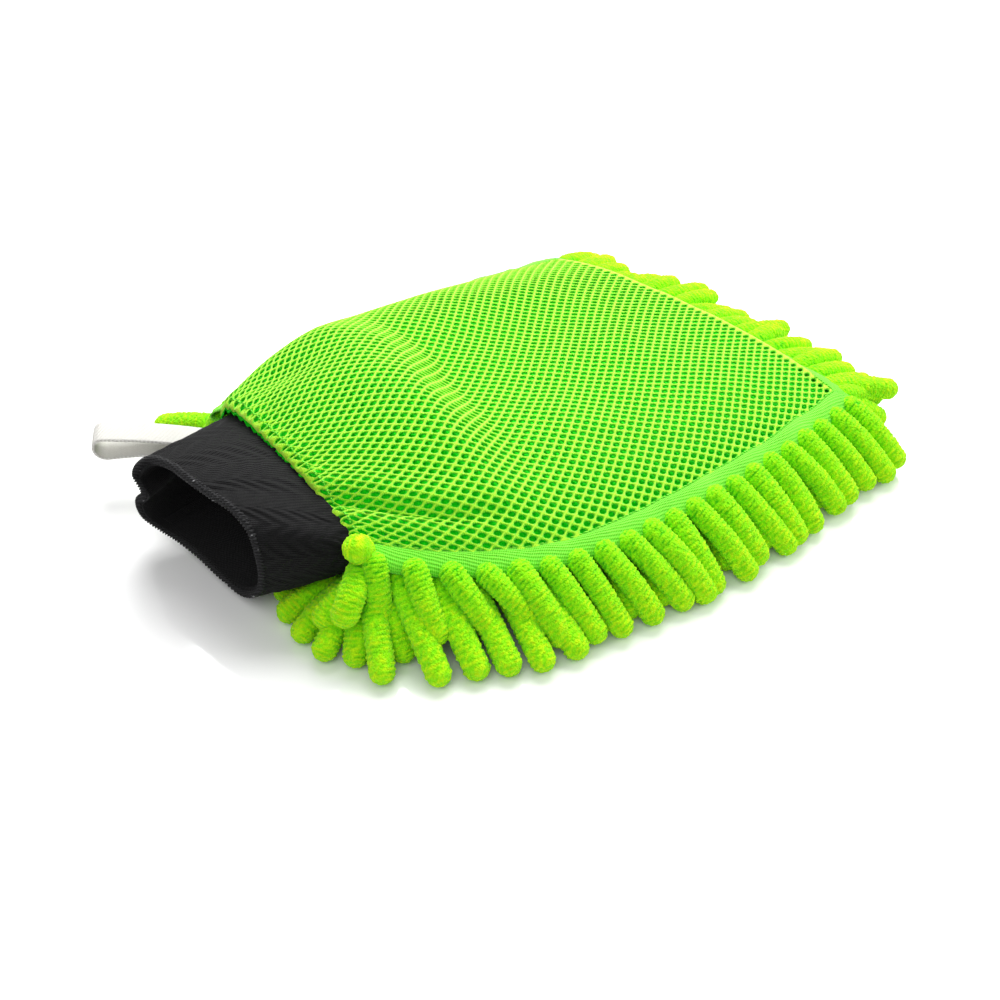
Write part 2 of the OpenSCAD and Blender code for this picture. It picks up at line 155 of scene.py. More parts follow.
class Shader:
    """One material's node tree, built from expressions."""

    def __init__(self, name: str) -> None:
        """Starts an empty material.

        Args:
            name: The material's name.
        """
        self.material = bpy.data.materials.new(name)
        self.material.use_nodes = True
        self.tree = self.material.node_tree
        self.tree.nodes.clear()

    def node(self, kind: str, settings: dict[str, object] | None = None,
             inputs: dict[str | int, object] | None = None, output: str | int = 0) -> Value:
        """Adds a node.

        Args:
            kind: The node's type.
            settings: Its settings, and the stops of a ramp as (place, colour) pairs.
            inputs: Values or links by socket.
            output: The output socket to give back.

        Returns:
            The chosen output.
        """
        made = self.tree.nodes.new(kind)
        for key, value in (settings or {}).items():
            if key == "stops":
                ramp = made.color_ramp.elements
                while len(ramp) < len(value):
                    ramp.new(0.5)
                for stop, (place, colour) in zip(ramp, value):
                    stop.position, stop.color = place, (*colour, 1.0)
            else:
                setattr(made, key, value)
        for key, value in (inputs or {}).items():
            if isinstance(value, Value):
                self.tree.links.new(value.socket, made.inputs[key])
            else:
                made.inputs[key].default_value = value
        return Value(self, made.outputs[output])

    def coordinates(self, cloth: bool) -> Value:
        """The pattern's coordinates.

        Args:
            cloth: Whether they follow the piece's own cloth, in place of the object.

        Returns:
            The vector.
        """
        return self.node("ShaderNodeTexCoord", output="UV" if cloth else "Object")

    def parts(self, vector: Value) -> tuple[Value, Value]:
        """The x and y of a vector.

        Args:
            vector: The vector.

        Returns:
            Its first two parts.
        """
        split = self.node("ShaderNodeSeparateXYZ", inputs={0: vector})
        return split, Value(self, split.socket.node.outputs[1])

    def grain(self, vector: Value, scale: float, detail: float = 2.0, rough: float = 0.5) -> Value:
        """A noise pattern.

        Args:
            vector: Where to read it.
            scale: Its scale.
            detail: Its octaves.
            rough: How strong the finer octaves are.

        Returns:
            The noise, from 0 to 1.
        """
        return self.node("ShaderNodeTexNoise", inputs={
            "Vector": vector, "Scale": scale, "Detail": detail, "Roughness": rough})

    def blend(self, share: Value, low: object, high: object) -> Value:
        """Mixes two colours.

        Args:
            share: 0 for the first colour, 1 for the second.
            low: The first colour.
            high: The second colour.

        Returns:
            The mixed colour.
        """
        pick = [c if isinstance(c, Value) else (*c, 1.0) for c in (low, high)]
        return self.node("ShaderNodeMix", {"data_type": "RGBA"}, {0: share, 6: pick[0], 7: pick[1]}, 2)

    def finish(self, colour: Value, rough: object, relief: Value | None = None, depth: float = 0.0,
               **constants: object) -> bpy.types.Material:
        """Ends the material in one Principled shader.

        Args:
            colour: The surface colour.
            rough: The roughness.
            relief: A height pattern for the bump.
            depth: The height of that pattern, in metres.
            constants: Values of other sockets, with _ for a space.

        Returns:
            The material.
        """
        inputs: dict[str | int, object] = {"Base Color": colour, "Roughness": rough}
        if relief is not None:
            inputs["Normal"] = self.node("ShaderNodeBump", inputs={
                "Height": relief, "Distance": depth, "Strength": 1.0})
        inputs.update({key.replace("_", " "): value for key, value in constants.items()})
        surface = self.node("ShaderNodeBsdfPrincipled", inputs=inputs)
        ending = self.tree.nodes.new("ShaderNodeOutputMaterial")
        self.tree.links.new(surface.socket, ending.inputs["Surface"])
        return self.material

    def layer(self, name: str) -> Value:
        """A number stored on the piece's points.

        Args:
            name: The attribute's name.

        Returns:
            The number.
        """
        return self.node("ShaderNodeAttribute", {"attribute_name": name}, output="Fac")


# ---------------------------------------------------------------- finishes


class Layer(str, Enum):
    """Numbers that pieces store on their points: a point's height on its crest, which also lifts the net's
    strands and which the finishes use for painted highlight on crests and painted shade in grooves and at hole
    rims, and the share of the way from a finger's root to its end, which paints the root darker as painted
    shade.
    """

    # Crest height: painted highlight on crests, painted shade in grooves and at hole rims.
    CREST_HEIGHT_SHADE = "pile"
    # Share of the way along a finger: painted shade at the root.
    LENGTH = "along"


@dataclass(frozen=True)
class ChenilleFinish:
    """Short dense microfibre pile on a chenille finger, with painted shade in its grooves, between its loops
    and at its root, and painted highlight on its crests.
    """

    # The first colour is painted shade for grooves and roots; the last is painted highlight for lit crests.
    deep: Colour = (0.0, 0.46, 0.001)
    body: Colour = (0.27, 0.88, 0.002)
    crest_highlight: Colour = (0.60, 0.98, 0.004)
    loops_per_m: float = 1000.0

    def build(self) -> bpy.types.Material:
        """Makes the material."""
        s = Shader("chenille_pile")
        where = s.coordinates(False)
        loops = s.node("ShaderNodeTexVoronoi", {"feature": "F1"}, {"Vector": where, "Scale": self.loops_per_m})
        fluff = s.grain(where, 2600.0, 3.0, 0.6)
        pile = s.layer(Layer.CREST_HEIGHT_SHADE.value)
        height = (1 - loops) * 0.9 + fluff * 0.6
        # Painted light: lighter on crests and towards the finger's end, darker in grooves, between loops and at
        # the root.
        lit = pile * 0.85 + s.layer(Layer.LENGTH.value) * 0.34 + (fluff - 0.5) * 0.35 - loops * 0.12 + 0.05
        low = s.blend(lit.over(-0.15, 0.5), self.deep, self.body)
        colour = s.blend(lit.over(0.45, 1.2), low, self.crest_highlight)
        return s.finish(colour, 0.92, height, 0.0008, Sheen_Weight=0.18, Sheen_Roughness=0.45,
                        Sheen_Tint=(0.75, 1.0, 0.25, 1.0), Specular_IOR_Level=0.15)


@dataclass(frozen=True)
class NetFinish:
    """Knitted yarn of the open mesh, with painted highlight on the strands' crests and painted shade at the
    hole rims.
    """

    span: tuple[float, float]
    low: Colour = (0.06, 0.70, 0.002)
    high: Colour = (0.52, 0.97, 0.03)
    yarn_mm: float = 0.62

    def build(self) -> bpy.types.Material:
        """Makes the material."""
        s = Shader("spacer_mesh_net")
        u, v = s.parts(s.coordinates(True))
        where = s.coordinates(False)
        lines = TURN / self.yarn_mm
        twist = (u * (self.span[0] * lines) + (v * (self.span[1] * lines * 0.5)).sine() * 1.5).sine()
        cross = (v * (self.span[1] * lines * 1.3) + u * (self.span[0] * lines * 0.4)).sine()
        fluff = s.grain(where, 1900.0, 3.0, 0.6)
        height = twist * 0.3 + cross * 0.22 + fluff * 0.7
        crest_highlight = s.layer(Layer.CREST_HEIGHT_SHADE.value)
        # Painted light: the crest layer makes the strands' crests lighter and the hole rims darker.
        share = (crest_highlight * 0.65 + fluff * 0.6 + twist * 0.12 - 0.1).over(0.1, 0.95)
        colour = s.blend(share, self.low, self.high)
        return s.finish(colour, 0.62, height, 0.00022, Sheen_Weight=0.12, Sheen_Roughness=0.4,
                        Specular_IOR_Level=0.3)


@dataclass(frozen=True)
class PileClothFinish:
    """Inner layer of the spacer mesh, seen through its holes, in a darker, deeper green that is partly its own
    colour and partly painted shade of the holes.
    """

    name: str = "spacer_mesh_core"
    # Darker, deeper green: partly painted shade inside the holes.
    low: Colour = (0.0, 0.50, 0.001)
    high: Colour = (0.01, 0.85, 0.004)

    def build(self) -> bpy.types.Material:
        """Makes the material."""
        s = Shader(self.name)
        where = s.coordinates(False)
        threads = s.grain(where, 1400.0, 3.0, 0.6)
        specks = s.node("ShaderNodeTexVoronoi", {"feature": "F1"}, {"Vector": where, "Scale": 1600.0})
        colour = s.blend(threads.over(0.3, 0.7), self.low, self.high)
        return s.finish(colour, 0.8, threads + specks * 0.6, 0.0003, Specular_IOR_Level=0.2)


@dataclass(frozen=True)
class WeaveFinish:
    """Plain weave of flat cloth, with the yarns at their real distance."""

    name: str
    span: tuple[float, float]
    low: Colour
    high: Colour
    yarn_mm: float = 0.55
    depth: float = 0.00012
    rough: float = 0.7
    slant: float = 0.0

    def build(self) -> bpy.types.Material:
        """Makes the material."""
        s = Shader(self.name)
        u, v = s.parts(s.coordinates(True))
        lines = TURN / (2 * self.yarn_mm)
        along, across = u * (self.span[0] * lines), v * (self.span[1] * lines)
        if self.slant:
            along, across = along + across * self.slant, across - along * self.slant
        warp, weft = along.sine(), across.sine()
        fluff = s.grain(s.coordinates(False), 1500.0, 3.0, 0.6)
        cloud = s.grain(s.coordinates(False), 60.0, 2.0, 0.5)
        height = warp * weft + fluff * 0.5
        share = (warp * weft * 0.28 + 0.45 + (fluff - 0.5) * 0.35 + (cloud - 0.5) * 0.25).over(0.05, 0.95)
        colour = s.blend(share, self.low, self.high)
        return s.finish(colour, self.rough, height, self.depth, Sheen_Weight=0.1, Sheen_Roughness=0.4,
                        Specular_IOR_Level=0.3)


@dataclass(frozen=True)
class KnitFinish:
    """Fine black rib knit: courses round the cuff and wales along it."""

    name: str
    span: tuple[float, float]
    low: Colour = (0.0006, 0.0006, 0.0008)
    high: Colour = (0.0036, 0.0036, 0.0042)
    course_mm: float = 0.95
    wale_mm: float = 1.15

    def build(self) -> bpy.types.Material:
        """Makes the material."""
        s = Shader(self.name)
        u, v = s.parts(s.coordinates(True))
        wales = u * (self.span[0] * TURN / self.wale_mm)
        leg = wales.sine()
        stitch = (v * (self.span[1] * TURN / self.course_mm) + leg.size() * 1.9).sine()
        fluff = s.grain(s.coordinates(False), 2200.0, 4.0, 0.65)
        height = stitch * 0.55 + leg.size() * 0.5 + fluff * 0.5
        share = (stitch * 0.3 + (fluff - 0.5) * 0.7 + 0.5).over(0.1, 1.1)
        colour = s.blend(share, self.low, self.high)
        return s.finish(colour, 0.85, height, 0.0003, Sheen_Weight=0.03, Sheen_Roughness=0.5,
                        Specular_IOR_Level=0.2)


@dataclass(frozen=True)
class ThreadFinish:
    """Twisted sewing thread, with a few lighter fibres where wanted."""

    name: str
    low: Colour
    high: Colour
    fleck: Colour | None = None
    twist_per_m: float = 2600.0

    def build(self) -> bpy.types.Material:
        """Makes the material."""
        s = Shader(self.name)
        where = s.coordinates(False)
        twist = s.node("ShaderNodeTexWave", {"bands_direction": "DIAGONAL"}, {
            "Vector": where, "Scale": self.twist_per_m / 6, "Distortion": 2.0, "Detail": 2.0}, 1)
        fluff = s.grain(where, 1800.0, 3.0, 0.6)
        colour = s.blend((twist * 0.6 + fluff * 0.4).over(0.2, 0.8), self.low, self.high)
        if self.fleck:
            colour = s.blend(s.grain(where, 260.0, 2.0, 0.5).over(0.66, 0.72), colour, self.fleck)
        return s.finish(colour, 0.72, twist * 0.6 + fluff * 0.5, 0.0002, Specular_IOR_Level=0.3)


@dataclass(frozen=True)
class TableFinish:
    """Glossy white table."""

    colour: Colour = (0.96, 0.96, 0.96)

    def build(self) -> bpy.types.Material:
        """Makes the material."""
        s = Shader("white_table")
        cloud = s.grain(s.coordinates(False), 3.0, 2.0)
        tone = s.blend(cloud, self.colour, tuple(c * 0.99 for c in self.colour))
        return s.finish(tone, 0.09, Specular_IOR_Level=0.8)


# ---------------------------------------------------------------- mesh tools


def smooth_fall(x: float, length: float) -> float:
    """A soft fade from 1 at x = 0 to 0 at length.

    Args:
        x: The distance.
        length: Where the fade ends.

    Returns:
        The fade.
    """
    return (1 - max(x, 0.0) / length) ** 2 if x < length else 0.0


def bump_at(distance: float, width: float) -> float:
    """A bell curve.

    Args:
        distance: The distance from its middle.
        width: The distance at which it has almost ended.

    Returns:
        Its height, at most 1.
    """
    return math.exp(-((distance / width) ** 2) * 2.5)


def ripple(x: float, y: float, z: float) -> float:
    """Smooth noise from -1 to 1, the same on each run.

    Args:
        x: First coordinate, in waves.
        y: Second coordinate.
        z: Third coordinate.

    Returns:
        The noise.
    """
    return noise.noise(Vector((x, y, z)))


def grid_sheet(rows: int, columns: int, spot: Spot, weld: bool = False) -> bmesh.types.BMesh:
    """A sheet made of a grid whose points are moved to their place.

    Args:
        rows: Steps along the first parameter.
        columns: Steps along the second parameter.
        spot: Gives the point, in millimetres, for two parameters from 0 to 1.
        weld: Whether the second parameter closes round.

    Returns:
        The sheet, in the frame's metres.
    """
    bm = bmesh.new()
    bm.loops.layers.uv.new("UVMap")
    bmesh.ops.create_grid(bm, x_segments=rows, y_segments=columns, size=0.5, calc_uvs=True)
    for vert in bm.verts:
        vert.co = BODY.place(spot(vert.co.x + 0.5, vert.co.y + 0.5))
    if weld:
        bmesh.ops.remove_doubles(bm, verts=bm.verts[:], dist=1e-6)
    bmesh.ops.recalc_face_normals(bm, faces=bm.faces[:])
    return bm


def face_upwards(bm: bmesh.types.BMesh, direction: Vector = Vector((0, 0, 1))) -> None:
    """Turns an open sheet over if most of it faces away from a direction.

    Args:
        bm: The sheet.
        direction: The side that its front has to face.
    """
    if sum((f.normal * f.calc_area()).dot(direction) for f in bm.faces) < 0:
        bmesh.ops.reverse_faces(bm, faces=bm.faces[:])


def to_object(bm: bmesh.types.BMesh, name: str, material: bpy.types.Material,
              wall: float = 0.0, offset: float = -1.0) -> bpy.types.Object:
    """Turns a mesh into a scene object.

    Args:
        bm: The mesh, which is freed.
        name: The piece's name.
        material: Its material.
        wall: Thickness to give it, in millimetres.
        offset: The side that the thickness goes to.

    Returns:
        The object, at the origin.
    """
    for face in bm.faces:
        face.smooth = True
    mesh = bpy.data.meshes.new(name)
    bm.to_mesh(mesh)
    bm.free()
    mesh.materials.append(material)
    made = bpy.data.objects.new(name, mesh)
    bpy.context.scene.collection.objects.link(made)
    if wall:
        solid = made.modifiers.new("wall", "SOLIDIFY")
        solid.thickness, solid.offset, solid.use_even_offset = wall * MM, offset, False
    LOG.info("%s: %d faces", name, len(mesh.polygons))
    return made


@dataclass
class Bend:
    """A bent line from a root through a control point to an end."""

    root: Vector
    middle: Vector
    end: Vector

    def point(self, t: float) -> Vector:
        """The point at t from 0 to 1."""
        return self.root * (1 - t) ** 2 + self.middle * (2 * t * (1 - t)) + self.end * t ** 2

    def heading(self, t: float) -> Vector:
        """The direction at t."""
        d = (self.middle - self.root) * (1 - t) + (self.end - self.middle) * t
        return d.normalized()

    def length(self) -> float:
        """The line's length."""
        spots = [self.point(i / 12) for i in range(13)]
        return sum((b - a).length for a, b in zip(spots, spots[1:]))


@dataclass
class Finger:
    """A round-ended chenille finger along a bent line."""

    line: Bend
    radius: float
    seed: float
    around: int = 28
    rings: int = 60
    ridge: float = 0.05
    nap: float = 0.5
    ridge_mm: float = 1.75

    def add(self, bm: bmesh.types.BMesh) -> None:
        """Adds the finger to a mesh that has the crest-height and root-to-tip layers, which the finish turns
        into painted highlight and shade.

        Args:
            bm: The mesh.
        """
        pile = bm.verts.layers.float[Layer.CREST_HEIGHT_SHADE.value]
        along = bm.verts.layers.float[Layer.LENGTH.value]
        made = bmesh.ops.create_uvsphere(bm, u_segments=self.around, v_segments=self.rings, radius=1.0)
        length, r = self.line.length(), self.radius
        quarter = math.pi * r / 2
        level = Vector((0, 0, 1))
        for vert in made["verts"]:
            t = 0.5 + math.asin(max(-1.0, min(1.0, vert.co.z))) / math.pi
            angle = math.atan2(vert.co.y, vert.co.x)
            s = t * (length + 2 * quarter)
            if s < quarter:
                reach, wide = -r * math.cos(s / r), r * math.sin(s / r)
            elif s < quarter + length:
                reach, wide = s - quarter, r
            else:
                over = min((s - quarter - length) / r, math.pi / 2)
                reach, wide = length + r * math.sin(over), r * math.cos(over)
            u = min(max(reach / length, 0.0), 1.0)
            head = self.line.heading(u)
            side = head.cross(level).normalized()
            up = side.cross(head)
            spoke = side * math.cos(angle) + up * math.sin(angle)
            drift = 1.6 * ripple(s * 0.2 + self.seed, math.cos(angle) * 1.4, math.sin(angle) * 1.4)
            wave = math.sin(TURN * s / self.ridge_mm + angle + self.seed + drift)
            spot = self.line.point(u) + head * (reach - u * length) + spoke * wide
            tuft = ripple(spot.x * 0.62 + self.seed, spot.y * 0.62, spot.z * 0.62)
            fine = ripple(spot.x * 1.5, spot.y * 1.5 + self.seed, spot.z * 1.5)
            lift = (wide / r) * (r * self.ridge * wave) + self.nap * (0.6 * tuft + 0.75 * fine)
            past_end = 1 if reach > length else -1 if reach < 0 else 0
            normal = spoke * (wide / r) + head * past_end * (1 - wide / r)
            vert.co = BODY.place(spot + normal * lift)
            # Crest height of ridges and tufts, for painted highlight on crests and painted shade in grooves;
            # the share along the finger paints the root darker as painted shade.
            vert[pile] = max(0.0, min(1.0, 0.5 + 0.3 * wave + 0.8 * fine + 0.4 * tuft))
            vert[along] = u


def finger_mesh(fingers: Sequence[Finger]) -> bmesh.types.BMesh:
    """A mesh of many fingers.

    Args:
        fingers: The fingers.

    Returns:
        The mesh, in the frame's metres.
    """
    bm = bmesh.new()
    for name in Layer:
        bm.verts.layers.float.new(name.value)
    for finger in fingers:
        finger.add(bm)
    bmesh.ops.recalc_face_normals(bm, faces=bm.faces[:])
    return bm


# ---------------------------------------------------------------- the mitt's shape


@dataclass(frozen=True)
class Swell:
    """An oval rise or hollow of the back."""

    x: float
    y: float
    wide_x: float
    wide_y: float
    reach: float
    height: float

    def lift(self, x: float, y: float) -> float:
        """How far it lifts a point of the back."""
        away = math.hypot((x - self.x) / self.wide_x, (y - self.y) / self.wide_y)
        return self.height * bump_at(away, self.reach)


@dataclass
class Body:
    """Outline and heights of the mitt's body, in millimetres."""

    length: float = 217.0
    width: float = 180.0
    tip_width: float = 162.0
    neck_width: float = 100.0
    tip_bow: float = 8.0
    widest: float = 115.0
    shift: float = 6.0
    neck_shift: float = 1.0
    near_round: tuple[float, float] = (2.2, 0.8)
    far_round: tuple[float, float] = (5.0, 0.55)
    sole: float = 20.0
    neck_dip: float = 6.0
    corner_rise: float = 14.0
    level: float = 80.0
    ridge: float = 53.0
    ridge_x: float = 55.0
    neck: float = 48.0
    tip: float = 31.0
    band_rise: float = 7.0
    panel_inset: float = 5.8
    far_swell: float = 7.0
    neck_middle: float = 7.0
    slant: float = 0.17
    slant_from: float = 60.0
    slant_side: float = -66.0
    crease: tuple[tuple[float, float], ...] = ((-2, -17), (9.4, -26.5), (22, -38.5), (36, -50), (56, -60))
    brow_x: float = 55.0
    brow_drop: float = 8.5
    brow_run: float = 24.0
    brow_fade: float = 90.0
    crease_depth: float = 3.9
    crease_width: float = 3.6
    crease_lip: float = 1.7
    swells: tuple[Swell, ...] = (Swell(50, 12, 1.2, 1.6, 26, 2.6), Swell(24, 52, 1.3, 0.8, 20, -4.2))
    origin: Vector = field(default_factory=lambda: Vector((0, 0, 0)))

    def measure(self) -> None:
        """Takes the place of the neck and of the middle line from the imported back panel."""
        low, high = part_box("back_panel")
        self.origin = Vector((low.x / MM, (low.y + high.y) / 2 / MM - self.shift, 0))

    def place(self, p: Vector) -> Vector:
        """The frame's point, in metres, for a point in millimetres.

        Args:
            p: The point on the square mitt.

        Returns:
            The point on the mitt as it lies, with its finger edge drawn aslant.
        """
        past = min(1.0, max(0.0, (p.x - self.slant_from) / (self.length - self.slant_from)))
        back = self.slant * max(0.0, p.y - self.slant_side) * past * past * (3 - 2 * past)
        return (p + self.origin - Vector((back, 0, 0))) * MM

    def middle(self, x: float) -> float:
        """Sideways place of the outline's middle."""
        return self.shift + (self.neck_shift + self.far_swell / 2) * smooth_fall(x, self.widest)

    def half(self, x: float) -> float:
        """Half the outline's width, with the far corner's swell at the neck."""
        swell = self.far_swell / 2 * smooth_fall(x, self.widest)
        if x > self.widest:
            share = (x - self.widest) / (self.length - self.widest)
            return self.width / 2 - (self.width - self.tip_width) / 2 * share ** 2
        share = (self.widest - max(x, 0.0)) / self.widest
        return self.width / 2 - (self.width - self.neck_width) / 2 * share ** 2.67 + swell

    def tip_x(self, v: float) -> float:
        """The finger edge at v from -1 to 1 across it."""
        return self.length + self.tip_bow * (1 - v * v)

    def edge_y(self, x: float, side: float, inset: float = 0.0) -> float:
        """The outline's y on one side."""
        return self.middle(x) + side * (self.half(x) - inset)

    def outward(self, x: float, side: float) -> Vector:
        """The level direction that points out of the outline."""
        slope = self.edge_y(x + 0.5, side) - self.edge_y(x - 0.5, side)
        return Vector((-side * slope, side, 0)).normalized()

    def sole_edge(self, x: float) -> float:
        """Height of the sole cloth at the outline."""
        return self.sole + smooth_fall(x, self.level) * (self.corner_rise - self.neck_dip)

    def sole_h(self, x: float, y: float) -> float:
        """Height of the middle of the sole cloth."""
        a = min(1.0, abs(y - self.middle(x)) / self.half(x))
        return self.sole + smooth_fall(x, self.level) * (self.corner_rise * a ** 6 - self.neck_dip)

    def ridge_h(self, x: float) -> float:
        """Height of the back along its ridge."""
        if x < self.ridge_x:
            return self.ridge - (self.ridge - self.neck) * (1 - x / self.ridge_x) ** 2
        past = min(1.0, (x - self.ridge_x) / (self.length - self.ridge_x))
        return self.tip + (self.ridge - self.tip) * (1 - past) ** 1.25

    def plain_back(self, x: float, y: float) -> float:
        """Height of the back before its folds."""
        edge = self.sole_edge(x) + self.band_rise
        a = min(1.0, abs(y - self.middle(x)) / (self.half(x) - self.panel_inset))
        across, rise = self.near_round if y < self.middle(x) else self.far_round
        return edge + (self.ridge_h(x) - edge) * (1 - a ** across) ** rise

    def fold(self, x: float, y: float) -> float:
        """How far the folds lift the back."""
        brow = self.brow_x + 9 * bump_at(y - 38, 42) - 5 * bump_at(y + 44, 26)
        past = min(1.0, max(0.0, (x - brow) / self.brow_run))
        fade = 1 - min(1.0, max(0.0, (x - brow - self.brow_run) / self.brow_fade))
        lift = -self.brow_drop * past ** 2 * (3 - 2 * past) * fade * bump_at(y - 8, 95)
        lift += sum(swell.lift(x, y) for swell in self.swells)
        lift += 1.3 * bump_at((y - 62) / 1.0, 24) * min(1.0, max(0.0, (x - 60) / 60))
        lift += 1.1 * ripple(x / 46, y / 30, 3.7) + 0.5 * ripple(x / 17, y / 15, 8.1)
        near, share, side = self.crease_place(x, y)
        deep = math.sin(math.pi * min(1.0, 0.3 + share * 0.7)) ** 0.7
        lift -= self.crease_depth * deep * bump_at(near, self.crease_width)
        lift += self.crease_lip * deep * bump_at(near - 7.5, 8.0) * (1 if side > 0 else 0.55)
        a = min(1.0, abs(y - self.middle(x)) / (self.half(x) - self.panel_inset))
        return lift * (1 - a ** 8) * (1 - smooth_fall(x, 5) * 0.7)

    def crease_place(self, x: float, y: float) -> tuple[float, float, float]:
        """Where a point lies against the crease.

        Args:
            x: The point's x.
            y: The point's y.

        Returns:
            Its distance, its share of the crease's length, and the side that it lies on.
        """
        best = (1e9, 0.0, 1.0)
        last = len(self.crease) - 1
        for i, ((ax, ay), (bx, by)) in enumerate(zip(self.crease, self.crease[1:])):
            dx, dy = bx - ax, by - ay
            t = max(0.0, min(1.0, ((x - ax) * dx + (y - ay) * dy) / (dx * dx + dy * dy)))
            away = math.hypot(x - ax - t * dx, y - ay - t * dy)
            if away < best[0]:
                side = dx * (y - ay) - dy * (x - ax)
                best = (away, (i + t) / last, 1.0 if side > 0 else -1.0)
        return best

    def gather(self, x: float, y: float) -> float:
        """The pleats and the turned edge at the neck."""
        pleat = math.sin(TURN * y / 5.2 + 2.2 * ripple(y / 9, 0.5, 1.1))
        return 1.0 * pleat * smooth_fall(x, 20) - 1.6 * smooth_fall(x, 3.5)

    def back(self, x: float, y: float) -> float:
        """Height of the back's upper face, folds included."""
        return self.plain_back(x, y) + self.fold(x, y) + self.gather(x, y)


BODY = Body()


@dataclass
class CrossTable:
    """Shares out the back's width by length of cloth, so that its holes stay even."""

    rows: int = 80
    steps: int = 120
    table: np.ndarray | None = None

    def fill(self) -> None:
        """Measures the cloth across the body at each row."""
        spread = np.linspace(-1, 1, self.steps + 1)
        made = []
        for i in range(self.rows + 1):
            x = BODY.length * i / self.rows
            reach = BODY.half(x) - BODY.panel_inset
            ys = [BODY.middle(x) + v * reach for v in spread]
            zs = [BODY.plain_back(x, y) + BODY.fold(x, y) for y in ys]
            run = np.concatenate([[0.0], np.cumsum(np.hypot(np.diff(ys), np.diff(zs)))])
            made.append(np.interp(np.linspace(0, run[-1], self.steps + 1), run, spread))
        self.table = np.array(made)

    def across(self, x: float, share: float) -> float:
        """The place across the body, from -1 to 1.

        Args:
            x: Distance from the neck.
            share: Share of the cloth's width.

        Returns:
            The place.
        """
        row = min(max(x / BODY.length, 0.0), 1.0) * self.rows
        i, at = min(int(row), self.rows - 1), min(max(share, 0.0), 1.0) * self.steps
        k = min(int(at), self.steps - 1)
        a, b = self.table[i], self.table[i + 1]
        low = a[k] + (a[k + 1] - a[k]) * (at - k)
        high = b[k] + (b[k + 1] - b[k]) * (at - k)
        return low + (high - low) * (row - i)


# ---------------------------------------------------------------- back of the mitt


